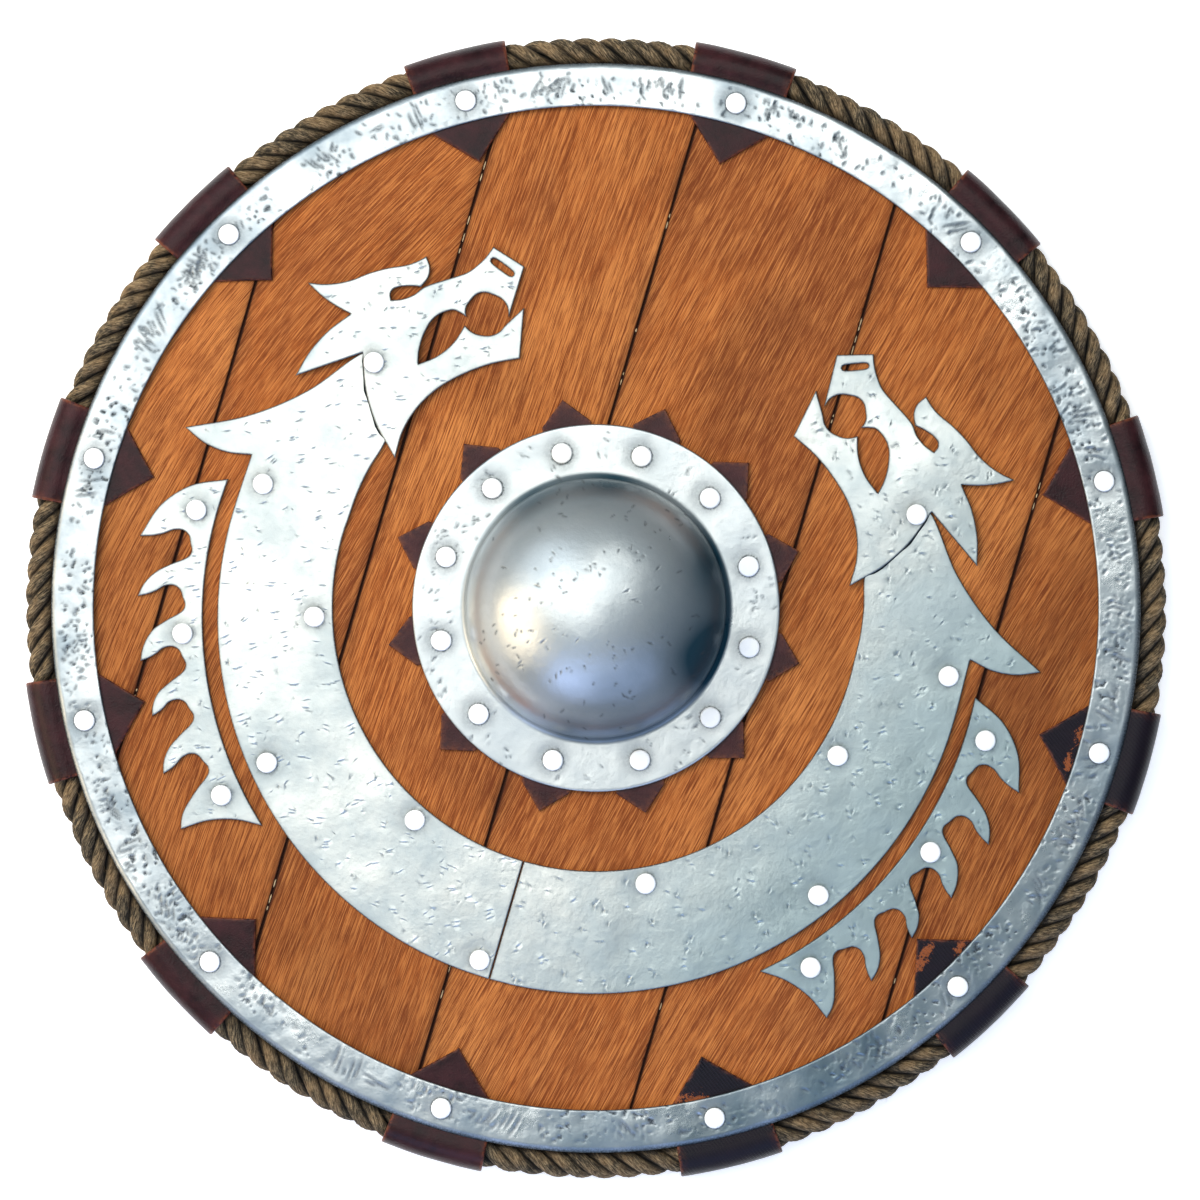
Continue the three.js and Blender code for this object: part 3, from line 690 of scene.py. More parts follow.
# Rivet heads are matte near-white rather than reflective steel, a painted highlight.
RIVET_STEEL = steel("rivet_steel", (0.97, 0.97, 0.96), (0.95, 0.96, 0.96), 0.5, metallic=0)
STRAP_LEATHER = leather(
    "strap_leather", (0.042, 0.011, 0.013), (0.012, 0.004, 0.005), (0.15, 0.04, 0.018)
)
WOVEN_LEATHER = leather(
    "woven_leather", (0.007, 0.003, 0.007), (0.003, 0.002, 0.005), (0.14, 0.04, 0.02), woven=True
)
TAB_LEATHER = leather(
    "tab_leather", (0.058, 0.019, 0.02), (0.03, 0.01, 0.011), (0.15, 0.045, 0.02)
)
PLANK_WOOD = wood("plank_wood", ((0.19, 0.043, 0.009), (0.39, 0.1, 0.017), (0.62, 0.22, 0.055)))
GRIP_WOOD = wood("grip_wood", ((0.1, 0.045, 0.018), (0.17, 0.08, 0.033), (0.25, 0.13, 0.06)))
FILLER = wood("filler", ((0.42, 0.27, 0.13), (0.6, 0.45, 0.27), (0.75, 0.62, 0.42)))
ROPE_HEMP = hemp()

# Rivets


def add_rivet(name, x, y, head_low, tail_low, stands_for, seed):
    """A flat hammered head, a shank and a tail spread over the back."""
    rng = np.random.default_rng(seed)
    head_high = head_low + RIVET_H
    tail_high = tail_low + TAIL_H
    profile = [
        (0.01, head_high),
        (RIVET_R * 0.6, head_high),
        (RIVET_R * 0.86, head_high - 0.05),
        (RIVET_R * 0.94, head_high - 0.2),
        (RIVET_R * 0.99, head_high - 0.7),
        (RIVET_R, head_low + 0.5),
        (RIVET_R * 0.98, head_low),
        (SHANK_R, head_low),
        (SHANK_R, tail_high),
        (TAIL_R, tail_high),
        (TAIL_R * 0.93, tail_low + 0.4),
        (TAIL_R * 0.6, tail_low),
        (0.01, tail_low),
    ]
    steps = 28
    wobble = 1 + 0.012 * np.sin(np.arange(steps) / steps * 4 * math.pi + rng.uniform(0, 6))
    tilt = rng.normal(0, 0.012, 2)
    points = revolved(profile, steps)
    # Painted shade on the head's underside, the shank and the tail.
    wear_and_shade = np.where(points[:, 2] < head_low + 0.3, 0.7, 0.0)
    points[:, :2] *= np.tile(wobble, len(profile))[:, None]
    points[:, 2] += np.where(points[:, 2] > head_low + 0.1, points[:, :2] @ tilt, 0)
    points[:, :2] += x, y
    faces = grid_faces(len(profile), steps)
    add_piece(name, points, faces, RIVET_STEEL, stands_for, wear_and_shade, sharp=50)


DRAGON_RIVETS = 17
RIVET_PLACES = []
for i in range(DRAGON_RIVETS):
    node = f"dragon_rivet_{i + 1:02d}"
    low, high = node_box(node)
    x, y = (low[0] + high[0]) / 2, (low[1] + high[1]) / 2
    RIVET_PLACES.append((x, y))
    add_rivet(f"rivet_{i + 1:02d}", x, y, high[2] - RIVET_H, low[2], (node,), i)

# Dragon plates


def scattered(loops, gap, margin, rng):
    """Places inside the loops, no two closer than the gap."""
    outline = np.concatenate(loops)
    low, high = outline.min(axis=0), outline.max(axis=0)
    tries = rng.uniform(low, high, (SCATTER_TRIES, 2))
    tries = tries[inside(tries, loops)]
    tries = tries[distance_to(tries, loops) > margin]
    kept = []
    for place in tries:
        if all(math.dist(place, other) > gap for other in kept):
            kept.append(place)
    return kept


def add_dragon_plate(node, seed, gap):
    """A plate of the left side has fine level dashes, and one of the right side is pitted."""
    side = node.rsplit("_", 1)[1]
    pitted = side == "right"
    rng = np.random.default_rng(seed)
    loops = [curved(loop, 1.0) for loop in plan_loops(node)]
    marks = []
    places = scattered(loops, gap, 4, rng)
    if pitted:
        add_marks(marks, places, rng, PHOTO_TURN - 0.6, *PITS)
    else:
        add_marks(marks, places, rng, PHOTO_TURN + 0.12, *DASHES)
        add_marks(marks, scattered(loops, gap, 4, rng), rng, 0, *NICKS)
    neck = [straight(loop, 2) for loop in plan_loops("dragon_body_" + side)]
    head_high = node_box("dragon_head_" + side)[1][2]

    def height_at(points):
        top = np.full(len(points), PLATE_HIGH)
        if "head" in node:
            beyond = np.where(inside(points, neck), 0, distance_to(points, neck))
            top = PLATE_HIGH + (head_high - PLATE_HIGH) * (1 - eased(beyond, 2, 70))
        relief, _, dish, _ = hammered(points, marks, RIVET_PLACES)
        wave = 0.2 * clouds(points, 34, seed) + 0.08 * clouds(points, 13, seed + 1)
        if pitted:
            wave += 0.12 * clouds(points, 17, seed + 2)
        return top + relief + dish + wave

    extra = mark_points(marks)
    points, faces, away = plate(loops, PLATE_HIGH - PLATE_LOW, 3.2, 0.7, height_at, extra)
    _, grime_and_shade, _, ring = hammered(points, marks, RIVET_PLACES)
    share = 0.4 if pitted else 0.5
    # Grime with painted shade in the marks and round the rivets, and painted shade along the rounded
    # edge.
    wear_and_shade = np.maximum.reduce([share * grime_and_shade, 0.65 * ring, 0.85 * bell(away, 0.75)])
    piece = add_piece(node + "_plate", points, faces, PLATE_STEEL, (node,), wear_and_shade, sharp=60)
    # Painted shade, a dark blue-grey toward the lower right.
    add_values(piece, "painted_shade", eased(toward(points, 1, -0.45), 90, 260))


def add_lap_shadow(side):
    """A dark bead of painted shadow on the neck, along the edge of the head that laps it."""
    head, neck = plan_loops("dragon_head_" + side), plan_loops("dragon_body_" + side)
    edge = straight(head[0], 1.0)
    on_neck = inside(edge, neck) & (distance_to(edge, neck) > 0.9)
    first = next(i for i in range(len(edge)) if on_neck[i] and not on_neck[i - 1])
    run = np.roll(edge, -first, axis=0)[: on_neck.sum()]
    out = rightward(run)
    if inside((run + out)[len(run) // 2 :][:1], head)[0]:
        out = -out
    width = 1.1 + 0.35 * clouds(run, 7, 92)
    from_end = np.minimum(np.arange(len(run)), np.arange(len(run))[::-1])
    width *= np.minimum(1, from_end / 4 + 0.1)
    points = []
    for share, height in ((-0.9, 0.2), (-0.1, 0.9), (0.6, 0.7), (1, 0.25)):
        row = run + out * (width * share)[:, None]
        points.append(np.column_stack([row, np.full(len(run), PLATE_HIGH + height)]))
    points = np.concatenate(points)
    faces = grid_faces(4, len(run), around=False, tube=True)[:, FLIPPED]
    # The whole bead takes the darkest painted shadow.
    grime_and_shade = np.full(len(points), 2.0)
    add_piece(f"lap_shadow_{side}", points, faces, PLATE_STEEL, (), grime_and_shade)


add_lap_shadow("left")
add_lap_shadow("right")
for node, seed, gap in (
    ("dragon_body_left", 11, 13.5),
    ("dragon_body_right", 12, 12.5),
    ("dragon_head_left", 13, 14),
    ("dragon_head_right", 14, 10),
    ("dragon_crest_left", 15, 13),
    ("dragon_crest_right", 16, 10),
):
    add_dragon_plate(node, seed, gap)

# Planks

PLANKS = 6
CRUMB_RINGS, CRUMB_SIDES = 7, 6
# Degrees from the seams at the middle of each plank, and how the grain bends from there
GRAIN_LEANS = (14, 16, 4, 12, 14, 13)
GRAIN_BENDS = (0.0006, 0.0006, 0, 0, 0, 0.0004)

BOX_FACES = [(0, 1, 3, 2), (4, 6, 7, 5), (0, 4, 5, 1), (2, 3, 7, 6), (0, 2, 6, 4), (1, 5, 7, 3)]


def add_filler():
    """Dark glue low in the seams, and crumbs of pale filler on it."""
    rng = np.random.default_rng(77)
    points, faces = [], []
    for index in range(PLANKS - 1):
        low_x = node_box(f"plank_{index + 1:02d}")[1][0]
        high_x = node_box(f"plank_{index + 2:02d}")[0][0]
        seam_x = (low_x + high_x) / 2
        reach = math.sqrt(BOARD_R**2 - seam_x**2) - 2
        from_hole = math.sqrt(max(0, (HAND_HOLE_R + 1) ** 2 - seam_x**2))
        for k, run in enumerate(((-reach, -from_hole), (from_hole, reach))):
            across, depth = (low_x + 0.05, high_x - 0.05), (BOARD_LOW + 1.5, BOARD_HIGH - 1.3)
            glue = [(x, y, z) for x in across for y in run for z in depth]
            name = f"seam_glue_{index + 1}_{k + 1}"
            add_piece(name, glue, BOX_FACES, PLANK_WOOD, (), np.ones(8))
        reach -= 38
        for _ in range(9):
            y = rng.uniform(-reach, reach)
            if abs(y) < FLANGE_R:
                continue
            for _ in range(rng.integers(1, 4)):
                length, half = rng.uniform(1.5, 6), rng.uniform(0.3, 0.55)
                top = BOARD_HIGH - rng.uniform(0.15, 0.7)
                along = np.linspace(-1, 1, CRUMB_RINGS)
                girth = half * np.sqrt(np.maximum(0.02, 1 - along**2))
                girth *= rng.uniform(0.75, 1.2, CRUMB_RINGS)
                k, j = np.mgrid[:CRUMB_RINGS, :CRUMB_SIDES].reshape(2, -1)
                turn = math.tau * j / CRUMB_SIDES
                x = seam_x + girth[k] * np.cos(turn)
                z = top - half + girth[k] * np.sin(turn)
                start = CRUMB_RINGS * CRUMB_SIDES * len(points)
                points.append(np.column_stack([x, y + along[k] * length / 2, z]))
                faces += grid_faces(CRUMB_RINGS, CRUMB_SIDES, start)[:, FLIPPED].tolist()
                first, last = range(start, start + CRUMB_SIDES), start + len(k)
                faces += [tuple(first[::-1]), tuple(range(last - CRUMB_SIDES, last))]
                y += length + rng.uniform(1, 6)
    points = np.concatenate(points)
    add_piece("seam_filler", points, faces, FILLER, (), np.zeros(len(points)))


def add_plank(node, index):
    loops = [straight(loop, 3.0) for loop in plan_loops(node)]

    def height_at(points):
        return BOARD_HIGH + 0.18 * clouds(points * (1, 0.25), 26, index + 40) - 0.15

    points, faces, away = plate(loops, BOARD_HIGH - BOARD_LOW, 5, 0.8, height_at)
    seam = bell(away, 0.95)
    halo = 0.35 * bell(away, 6) * (1 + clouds(points, 18, index + 60)) / 2
    # Darker in random patches, toward the lower left and toward the right.
    darkening = 0.14 * eased(clouds(points, 75, 41) + 0.4 * clouds(points, 24, 42), 0.1, 0.9)
    darkening += 0.2 * eased(toward(points, -1, -0.9), 210, 330)
    darkening += 0.2 * eased(points[:, 0] - 0.3 * abs(points[:, 1] + 40), 170, 260)
    wear_and_shade = np.clip(seam + halo + darkening, 0, 1) * (points[:, 2] > BOARD_LOW + 1)
    piece = add_piece(node + "_board", points, faces, PLANK_WOOD, (node,), wear_and_shade, sharp=50)
    lean = math.radians(GRAIN_LEANS[index])
    across, along = turned(points[:, :2], -lean).T
    across = across - GRAIN_BENDS[index] * points[:, 1] ** 2
    across = across + 2.5 * clouds(points, 120, index + 70) + 700 * index
    add_values(piece, "grain", np.column_stack([across, along, points[:, 2]]) * MM)


for index in range(PLANKS):
    add_plank(f"plank_{index + 1:02d}", index)
add_filler()


def rounded_section(half_width, low, high, radius, steps):
    """A rectangle with round corners as (across, height), anticlockwise."""
    right, top, bottom = half_width - radius, high - radius, low + radius
    corners = ((right, top), (-right, top), (-right, bottom), (right, bottom))
    section = []
    for quarter, (y, z) in enumerate(corners):
        for angle in math.pi / 2 * (quarter + np.arange(steps + 1) / steps):
            section.append((y + radius * math.cos(angle), z + radius * math.sin(angle)))
    return section


def add_grip():
    """A bar along X, shaved thin where it laps the board and thick where the hand closes."""
    low, high = node_box("grip")
    half, base, hand_top = high[0], low[2], high[2]
    lap_top = BOARD_LOW - LAYER_GAP
    stations = (
        (0, 16, hand_top, 9),
        (28, 15.6, hand_top - 0.3, 9),
        (44, 15.8, hand_top - 0.6, 8),
        (50, 16, hand_top - 1.8, 6),
        (56, 16.7, (hand_top + lap_top) / 2, 4),
        (61, 17.3, lap_top + 1.5, 2.6),
        (66, 18, lap_top, 2.2),
        (80, 20, lap_top, 2),
        (BOSS_RIVET_R, 21.8, lap_top, 2),
        (118, 20.6, lap_top, 2),
        (150, 18.6, lap_top, 2),
        (half - 3, 16, lap_top - 0.1, 2),
        (half - 1, 15.6, lap_top - 0.5, 2.2),
        (half, 14.4, lap_top - 1.6, 1.8),
    )
    stations = [(-x, *rest) for x, *rest in stations[:0:-1]] + list(stations)
    xs = np.array([s[0] for s in stations])
    fine = np.unique(np.concatenate([np.linspace(-half, half, 120), xs]))
    columns = [np.interp(fine, xs, [s[k] for s in stations]) for k in (1, 2, 3)]
    points = []
    for x, half_width, top, radius in zip(fine, *columns):
        sink = 0.8 if abs(x) > half - 0.5 else 0
        lump = 0.25 * math.sin(x / 17) + 0.15 * math.sin(x / 7.3)
        for y, z in rounded_section(half_width + lump, base + sink, top, radius, 5):
            points.append((x, y, z))
    count = len(points) // len(fine)
    faces = grid_faces(len(fine), count)[:, FLIPPED].tolist()
    for ring in (list(range(count))[::-1], list(range(len(points) - count, len(points)))):
        middle = len(points)
        points.append(np.mean([points[k] for k in ring], axis=0))
        faces += [(ring[k], ring[(k + 1) % count], middle) for k in range(count)]
    points = np.array(points)
    wear_and_shade = np.zeros(len(points))
    piece = add_piece("grip_bar", points, faces, GRIP_WOOD, ("grip",), wear_and_shade, sharp=40)
    add_values(piece, "grain", points[:, [1, 0, 2]] * MM)


add_grip()

# Rope

ROPE_TURNS = 48
STRANDS = 3
STRAND_R = 0.46 * ROPE_R
STRAND_OFF = ROPE_R - STRAND_R
STRAND_STRETCH = 1.6
FIBRES = 1500


def add_rope():
    along_steps, round_steps = ROPE_TURNS * 18, 16
    rng = np.random.default_rng(90)
    points, uv, wear_and_shade, faces = [], [], [], []
    for strand in range(STRANDS):
        psi = np.linspace(0, math.tau, along_steps + 1)
        slack = rng.uniform(-1, 1, 64)
        uneven = np.interp(psi, np.linspace(0, math.tau, 65), np.append(slack, slack[0]))
        theta = ROPE_TURNS * psi + math.tau * strand / STRANDS + 0.16 * uneven
        out = np.column_stack([np.sin(psi), np.cos(psi), np.zeros_like(psi)])
        up = np.array([0, 0, 1.0])
        away = np.cos(theta)[:, None] * out + np.sin(theta)[:, None] * up
        centre = out * ROPE_RING_R + up * ROPE_Z + away * STRAND_OFF
        tangent = np.gradient(centre, axis=0)
        tangent[0] = tangent[-1] = centre[1] - centre[-2]
        side = unit(np.cross(unit(tangent), away))
        i, j = np.mgrid[: along_steps + 1, : round_steps + 1].reshape(2, -1)
        turn = math.tau * j / round_steps
        lump = 0.96 + 0.04 * np.sin(3 * turn + theta[i] * 2.3 + 3 * uneven[i])
        offset = np.cos(turn)[:, None] * away[i] + np.sin(turn)[:, None] * side[i]
        surface = centre[i] + (STRAND_R * lump)[:, None] * offset
        points.append(surface)
        uv.append(np.column_stack([psi[i] * ROPE_RING_R * MM * STRAND_STRETCH, j / round_steps]))
        # Painted shade on the sides of the strands that turn into the rope, and a painted shadow on
        # the rope beside the band.
        beside = 1 - (np.hypot(surface[:, 0], surface[:, 1]) - BAND_OUTER_R) / 5
        hidden = np.maximum(0, 0.6 - np.cos(turn)) * 1.3
        wear_and_shade.append(np.minimum(1, np.maximum(hidden, 0.85 * beside)))
        faces.append(grid_faces(along_steps + 1, round_steps + 1, strand * len(i), around=False))
    points, uv, wear_and_shade, faces = (np.concatenate(rows) for rows in (points, uv, wear_and_shade, faces))
    add_piece("rope", points, faces, ROPE_HEMP, ("rim_rope",), wear_and_shade, uv, sharp=80)


def add_fibres():
    """Loose hairs that stand out of the rope."""
    rng = np.random.default_rng(91)
    points, faces = [], []
    for _ in range(FIBRES):
        psi, turn = rng.uniform(0, math.tau, 2)
        out = np.array([math.sin(psi), math.cos(psi), 0])
        along = np.array([math.cos(psi), -math.sin(psi), 0])
        away = math.cos(turn) * out + math.sin(turn) * np.array([0, 0, 1.0])
        place = out * ROPE_RING_R + (0, 0, ROPE_Z) + away * ROPE_R * 0.9
        heading = along * rng.choice((-1, 1)) + away * rng.uniform(0.1, 0.5) + rng.normal(0, 0.3, 3)
        heading /= np.linalg.norm(heading)
        bend = rng.normal(0, 0.35, 3)
        wide = np.cross(heading, away)
        length = rng.uniform(2, 5)
        start = len(points)
        for share, half in ((0, 0.12), (0.35, 0.1), (0.7, 0.07), (1, 0.02)):
            middle = place + heading * length * share + bend * share**2
            reach = np.linalg.norm(middle[:2])
            middle[2] = np.clip(middle[2], 0.3, ROPE_Z + ROPE_R + 0.6)
            middle[:2] *= min(1, (ROPE_RING_R + ROPE_R + 2) / reach)
            middle[:2] *= max(1, (BAND_OUTER_R + 0.5) / reach)
            points += [middle + wide * half, middle - wide * half, middle + away * half]
        faces.append(grid_faces(4, 3, start)[:, FLIPPED])
    faces, wear_and_shade = np.concatenate(faces), np.zeros(len(points))
    add_piece("rope_fibres", points, faces, ROPE_HEMP, ("rim_rope",), wear_and_shade)


add_rope()
add_fibres()

# Leather

# Rows of points on a strap's tab, as shares of its length from the tip
TAB_SHARES = (0, 0.012, 0.03, 0.06, 0.1, 0.16, 0.22, 0.28, 0.34, 0.42, 0.5, 0.6, 0.7, 0.8, 0.9, 1)


def strap_path():
    """The strap's outer face as (radius, height) from the pointed tab round the rope to the back."""
    wrap = ROPE_R + 0.7 + LEATHER_T
    front = (BAND_OUTER_R + 0.3, BOARD_HIGH + LAYER_GAP + LEATHER_T)
    back = (RIM_RIVET_R + 5, BOARD_LOW - LAYER_GAP - LEATHER_T)

    def leaving(point, side):
        dr, dz = ROPE_RING_R - point[0], ROPE_Z - point[1]
        return math.atan2(dz, dr) + math.pi - side * math.acos(wrap / math.hypot(dr, dz))

    begin, end = leaving(front, 1), leaving(back, -1) - math.tau
    arc = []
    for angle in np.linspace(begin, end, 26):
        height = ROPE_Z + wrap * math.sin(angle)
        arc.append((ROPE_RING_R + wrap * math.cos(angle), max(height, 0)))
    tab = [(STRAP_TIP_R + share * (front[0] - STRAP_TIP_R), front[1]) for share in TAB_SHARES]
    leaf = [(back[0] + share * (STRAP_BACK_R - back[0]), back[1]) for share in (0, 0.5, 0.9, 1)]
    return np.array(tab + arc + leaf)


# Degrees that each strap's tab turns ahead of its wrap, and the woven ones with the places on
# their tabs that are rubbed bare, as millimetres to the side and inward from the band
TAB_AHEAD = (0.35, 0.4, 0.2, 0.05, -0.45, 0.5, 0.55, 0.3, 1.0, 0.2, 0.3, -0.3)
WOVEN = {3: ((12, 3), (-6, 1)), 4: ((-16, 2), (0, 16), (9, 12)), 5: ((16, 1), (9, 0), (21, 2))}


def cad_turn(node, beyond):
    """The clockwise angle from the top of the part of a node beyond a radius, at its middle."""
    points = cad_points(node)
    far = points[np.hypot(points[:, 0], points[:, 1]) > beyond]
    heading = math.atan2(far[:, 0].mean(), far[:, 1].mean())
    off = np.arctan2(far[:, 0], far[:, 1]) - heading
    off = (off + math.pi) % math.tau - math.pi
    return heading + (off.min() + off.max()) / 2


def add_strap(index):
    node = f"rim_strap_{index + 1:02d}"
    angle = cad_turn(node, ROPE_RING_R)
    ahead = math.radians(TAB_AHEAD[index])
    path = strap_path()
    inward = rightward(path)
    half_turn = math.asin(STRAP_W / 2 / (ROPE_RING_R + ROPE_R + 2.7))
    across = np.array([-1, -0.992, -0.975, -0.93, -0.8, -0.6, -0.4, -0.2, 0])
    across = np.concatenate([across, -across[-2::-1]])
    rows, columns = len(path), len(across)
    i, j = np.mgrid[:rows, :columns].reshape(2, -1)
    (radius, height), share = path[i].T, across[j]
    on_tab = i < len(TAB_SHARES)
    from_tip = np.where(on_tab, np.maximum(radius - STRAP_TIP_R, 0.15), STRAP_W)
    half = np.minimum(from_tip, radius * math.tan(half_turn))
    out = np.clip((BAND_OUTER_R - radius) / (BAND_OUTER_R - STRAP_TIP_R), 0, 1)
    turn = angle + np.arctan2(share * half, radius) + ahead * (out - 0.5)
    to_side = (1 - abs(share)) * half
    lump = 0.25 * clouds(np.column_stack([share * 32 + index * 91, i * 2.1]), 9, 3)
    outer = 0.6 * np.maximum(0, 1 - to_side / 0.8) ** 2 - 0.5 * lump
    points = []
    for depth, lowest in ((outer, 0), (LEATHER_T, 0.9 * LEATHER_T)):
        r = radius + inward[i, 0] * depth
        z = np.maximum(height + inward[i, 1] * depth, lowest)
        points.append(np.column_stack([r * np.sin(turn), r * np.cos(turn), z]))
    edge = np.maximum(0, 1 - to_side / np.where(on_tab, 3, 4))
    wear_and_shade = np.minimum(1, 0.35 * edge + 0.75 * (to_side < 0.9))
    to_band = BAND_OUTER_R - BAND_W - radius
    rub = np.zeros(len(i))
    for side, inward_from_band in WOVEN.get(index, ()):
        away = np.hypot((share * half - side) / 10, (to_band - inward_from_band) / 5)
        rub = np.maximum(rub, (1 - away) * on_tab)
    block = rows * columns
    faces = grid_faces(rows, columns, around=False)[:, FLIPPED].tolist()
    faces += grid_faces(rows, columns, block, around=False).tolist()
    order = np.arange(block).reshape(rows, columns)
    border = [*order[0], *order[1:, -1], *order[-1, -2::-1], *order[-2:0:-1, 0]]
    for a, b in zip(border, border[1:] + border[:1]):
        faces.append((b, a, block + a, block + b))
    points, wear_and_shade, rub = np.concatenate(points), np.tile(wear_and_shade, 2), np.tile(rub, 2)
    name = f"strap_{index + 1:02d}"
    finish = WOVEN_LEATHER if index in WOVEN else STRAP_LEATHER
    piece = add_piece(name, points, faces, finish, (node,), wear_and_shade, sharp=50)
    add_values(piece, "rub", rub)


def add_boss_tab(index):
    node = f"boss_tab_{index + 1:02d}"
    rng = np.random.default_rng(index + 300)
    pivot = np.array(on_circle(BOSS_RIVET_R, cad_turn(node, BOSS_RIVET_R)))
    lean = rng.normal(0, math.radians(1.5))
    loops = [straight(turned(loop - pivot, lean) + pivot, 1.5) for loop in plan_loops(node)]

    def height_at(points):
        return TAB_HIGH + 0.2 * clouds(points, 9, index + 310)

    points, faces, away = plate(loops, LEATHER_T - 0.2, 3, 0.5, height_at)
    wear_and_shade = np.minimum(0.9 * bell(away, 0.8) + 0.3 * bell(away, 4), 1)
    add_piece(f"tab_{index + 1:02d}", points, faces, TAB_LEATHER, (node,), wear_and_shade, sharp=50)


for index in range(STRAPS):
    add_strap(index)
    add_boss_tab(index)

# Rim band and boss

BAND_STEPS = 2300
BOSS_STEPS = 560
DOME_ROWS = 92
DOME_BACK_ROWS = 20
TAIL_BEHIND = 1.2
GRIP_RIVET_TAIL = 0.3


def circle_places(radius, spread, count, rng):
    spots = rng.uniform((-spread, 0), (spread, math.tau), (count, 2))
    return [on_circle(radius + off, angle) for off, angle in spots]


def add_band():
    rng = np.random.default_rng(21)
    inner = BAND_OUTER_R - BAND_W
    high = STEEL_LOW + BAND_T
    places = cad_rivets("rim_band", RIM_RIVET_R)
    marks = []
    middle = inner + BAND_W / 2
    for _ in range(130):
        turn = rng.uniform(0, math.tau)
        for _ in range(rng.integers(2, 7)):
            at = turn + rng.normal(0, 0.022)
            x, y = on_circle(middle + rng.uniform(-10, 8), at)
            lean = math.pi / 2 - at + rng.normal(0, 0.6)
            marks.append((x, y, lean, *rng.uniform((2, 0.7, 0.15), (5, 1.1, 0.4))))
    for _ in range(44):
        turn = rng.uniform(0, math.tau)
        lean = rng.normal(0, 0.7)
        for k in range(rng.integers(2, 6)):
            at = turn + k * rng.uniform(0.008, 0.012)
            x, y = on_circle(middle + rng.uniform(-3, 3), at)
            size = rng.uniform((4, 0.7, 0.1), (15, 1.3, 0.3))
            marks.append((x, y, math.pi / 2 - at + lean, *size))
    section = [(inner, STEEL_LOW), (inner, high - 0.5), (inner + 0.25, high - 0.15)]
    section += [(inner + w, high) for w in np.arange(0.7, BAND_W - 3.6, 0.9)]
    bevel = ((3.4, 0), (2.4, 0.12), (1.5, 0.38), (0.7, 0.72), (0.2, 1.1), (0, BAND_T))
    section += [(BAND_OUTER_R - inset, high - drop) for inset, drop in bevel]
    section.append((inner + BAND_W / 2, STEEL_LOW))
    points = revolved(section, BAND_STEPS)
    relief, grime_and_shade, dish, ring = hammered(points, marks, places)
    wave = 0.2 * clouds(points, 18, 5) + 0.13 * clouds(points, 7, 6)
    radius = np.hypot(points[:, 0], points[:, 1])
    rough = eased(clouds(points, 30, 12), -0.7, 0.2) * eased(BAND_OUTER_R - radius, 2, 9)
    holes = rough * eased(clouds(points, 2.6, 13) + 0.5 * clouds(points, 1.6, 14), 0.4, 0.9)
    wave -= 0.3 * holes
    grime_and_shade = np.maximum(0.7 * grime_and_shade, holes**1.5)
    free = eased(BAND_OUTER_R - radius, 0, 3) * (points[:, 2] > STEEL_LOW + 0.1)
    points[:, 2] += free * (relief + dish + wave)
    faces = grid_faces(len(section), BAND_STEPS, tube=True)
    # Painted shade along the inner edge, and a painted shadow along the outer edge next to the rope,
    # wider toward the right.
    edge = bell(radius - inner, 0.5) * 0.8
    to_right = toward(points, 0.72, -0.69) / BAND_OUTER_R
    side = bell(BAND_OUTER_R - radius, 1.4 + 1.6 * eased(to_right, 0, 0.7))
    wear_and_shade = np.clip(np.maximum.reduce([grime_and_shade * free, ring, edge, side]), 0, 1)
    piece = add_piece("band", points, faces, BAND_STEEL, ("rim_band",), wear_and_shade, sharp=50)
    # Painted shade: a dark blue tint toward the right.
    patchy = 0.75 + 0.5 * clouds(points, 22, 15)
    add_values(piece, "painted_shade", np.clip(0.7 * eased(to_right, 0.6, 1) * patchy, 0, 1))
    tail = BOARD_LOW - 2 * LAYER_GAP - LEATHER_T - TAIL_BEHIND
    for i, (x, y) in enumerate(places):
        add_rivet(f"band_rivet_{i + 1:02d}", x, y, high - 0.1, tail, ("rim_band",), 50 + i)


def dome_section(foot, radius, height, steps):
    """The dome from its foot to the crown, a small fillet and then a quarter of an ellipse."""
    section = []
    for angle in np.arange(6) / 6 * math.pi / 2:
        out, up = 1 - math.sin(angle), 1 - math.cos(angle)
        section.append((radius + DOME_FOOT * out, foot + DOME_FOOT * up))
    for angle in np.arange(steps + 1) / steps * math.pi / 2:
        up = DOME_FOOT + (height - DOME_FOOT) * math.sin(angle)
        section.append((max(radius * math.cos(angle), 0.01), foot + up))
    return section


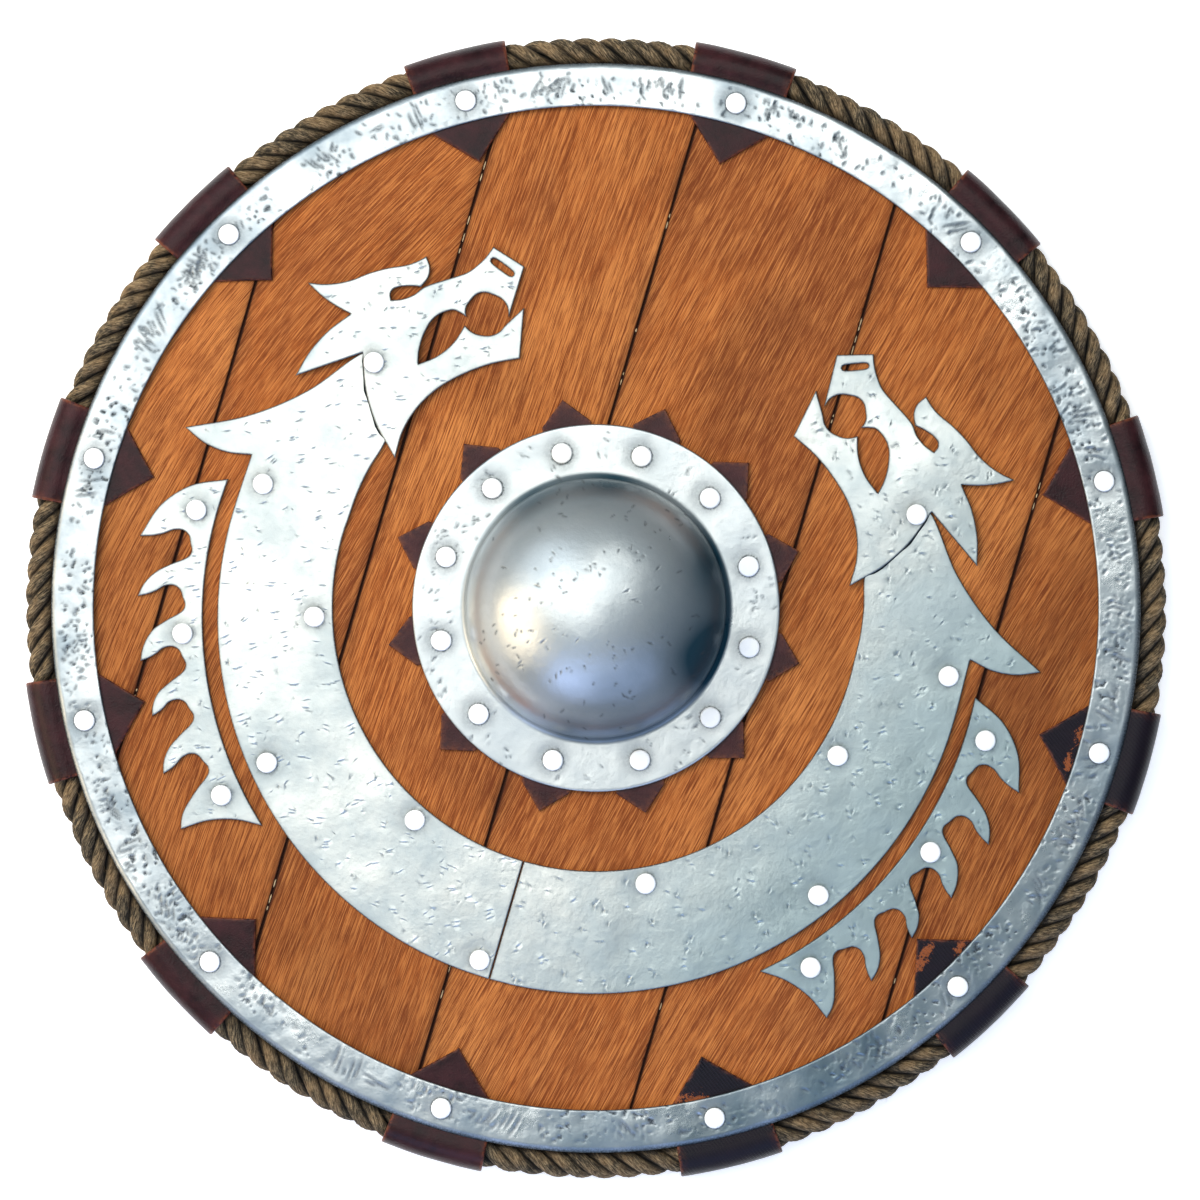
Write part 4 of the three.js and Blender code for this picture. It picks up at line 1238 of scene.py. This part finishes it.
def add_boss():
    rng = np.random.default_rng(31)
    high = STEEL_LOW + BOSS_T
    dome_height = BOSS_TOP - high
    places = cad_rivets("boss", BOSS_RIVET_R)
    marks = []
    add_marks(marks, circle_places(49, 28, 90, rng), rng, 0.4, *DOME_MARKS)
    add_marks(marks, circle_places(97, 12, 60, rng), rng, 0.6, *FLANGE_MARKS)
    outside = [(FLANGE_R, STEEL_LOW), (FLANGE_R, high - 0.7), (FLANGE_R - 0.35, high - 0.15)]
    outside += [(r, high) for r in np.arange(FLANGE_R - 0.9, DOME_R + DOME_FOOT + 0.5, -1.3)]
    outside += dome_section(high, DOME_R, dome_height, DOME_ROWS)
    back = dome_section(STEEL_LOW, DOME_R - BOSS_T, dome_height, DOME_BACK_ROWS)
    section = outside + back[::-1]
    points = revolved(section, BOSS_STEPS)
    relief, grime_and_shade, dish, ring = hammered(points, marks, places)
    wave = 0.25 * clouds(points, 26, 7) + 0.08 * clouds(points, 9, 8)
    free = np.zeros(len(points))
    free[3 * BOSS_STEPS : len(outside) * BOSS_STEPS] = 1
    points[:, 2] += free * (relief + dish + 0.6 * wave)
    faces = grid_faces(len(section), BOSS_STEPS, tube=True)[:, ::-1]
    radius = np.hypot(points[:, 0], points[:, 1])
    # Painted shade along the flange's rim.
    edge = 0.8 * bell(FLANGE_R - radius, 0.5)
    wear_and_shade = np.clip(np.maximum.reduce([0.8 * grime_and_shade * free, ring * free, edge]), 0, 1)
    piece = add_piece("boss_steel", points, faces, BOSS_STEEL, ("boss",), wear_and_shade, sharp=60)
    # Painted shade on the dome: heavier toward its foot, to the lower right and the upper left,
    # lighter to the lower left and the bottom; a faint painted shade on the flange toward the
    # bottom.
    on_dome = 1 - eased(radius, DOME_R + 2.5, DOME_R + 5)
    low_right = toward(points, 0.88, -0.4) / DOME_R
    low_left = toward(points, -0.9, -0.42) / DOME_R
    painted_shade = 0.04 + 0.64 * eased(radius, 26, DOME_R) + 0.6 * eased(low_right, -0.05, 0.5)
    up_left = toward(points, -0.8, 0.6) / DOME_R
    painted_shade += 0.4 * eased(radius, 40, DOME_R) * eased(up_left, 0.2, 0.7)
    down = toward(points, 0.28, -0.96) / DOME_R
    painted_shade -= 0.65 * eased(low_left, 0.3, 0.95) + 0.42 * eased(down, 0.3, 0.85)
    painted_shade = on_dome * painted_shade * (0.9 + 0.2 * clouds(points, 30, 9))
    painted_shade += 0.09 * (1 - on_dome) * eased(down, -0.3, 1.25)
    add_values(piece, "painted_shade", np.clip(painted_shade, 0, 1))
    for i, (x, y) in enumerate(places):
        through_grip = abs(y) < 10
        tail = GRIP_RIVET_TAIL if through_grip else BOARD_LOW - LAYER_GAP - TAIL_BEHIND
        add_rivet(f"boss_rivet_{i + 1:02d}", x, y, high - 0.1, tail, ("boss",), 80 + i)


add_band()
add_boss()

# Floor and lights


def add_floor():
    mesh = bpy.data.meshes.new("floor")
    side = 6.0
    corners = [(-side, -side, 0), (side, -side, 0), (side, side, 0), (-side, side, 0)]
    mesh.from_pydata(corners, [], [(0, 1, 2, 3)])
    n = Nodes("floor")
    n.set(Base_Color=(0.9, 0.9, 0.9, 1), Roughness=0.9)
    n.set(Emission_Color=(1, 1, 1, 1), Emission_Strength=0.55)
    mesh.materials.append(n.data)
    floor = add_object("floor", mesh)


def add_light(name, place, size, strength, colour, seen_in_steel=True):
    """A soft panel facing the shield. Its strength is the radiance of the panel's face."""
    data = bpy.data.lights.new(name, "AREA")
    data.shape = "RECTANGLE"
    data.size, data.size_y = size
    data.energy = strength * math.pi * size[0] * size[1]
    data.color = colour
    light = add_object(name, data)
    light.location = place
    light.rotation_euler = (-place).to_track_quat("-Z", "Y").to_euler()
    light.visible_glossy = seen_in_steel


def add_world():
    """Pale blue overhead, dark toward the horizon and to the right."""
    n = Nodes("studio", "worlds", "Background")
    lean = n.add("VectorMath", {"operation": "DOT_PRODUCT"})
    n.put(lean.inputs[0], n.add("TexCoord").outputs["Generated"])
    n.put(lean.inputs[1], in_photo(-300, 120, 900) / MM / 1000)
    dark, pale = (0.15, (0.03, 0.05, 0.065)), (0.95, (0.31, 0.39, 0.43))
    n.set(Color=n.ramp(lean.outputs["Value"], dark, pale))
    bpy.context.scene.world = n.data


add_floor()
add_world()
add_light("overhead", in_photo(-640, 330, 2650), (1.45, 1.7), 1.8, (1, 0.985, 0.94))
add_light("upper", in_photo(560, 1150, 2650), (1.2, 1.5), 2.0, (1, 1, 0.96))
add_light("upper_left", in_photo(-1500, 1100, 1900), (1.8, 1.8), 0.9, (0.75, 0.88, 1))
add_light("key", in_photo(-1300, 1200, 1900), (1.4, 1.4), 7.2, (1, 0.98, 0.95), False)
add_light("warm", in_photo(-1400, -250, 850), (1.15, 1.0), 2.5, (1, 0.8, 0.55))
add_light("violet", in_photo(200, -1500, 1150), (2.4, 1.1), 2.1, (0.42, 0.57, 1))
bpy.context.scene.view_settings.view_transform = "Standard"
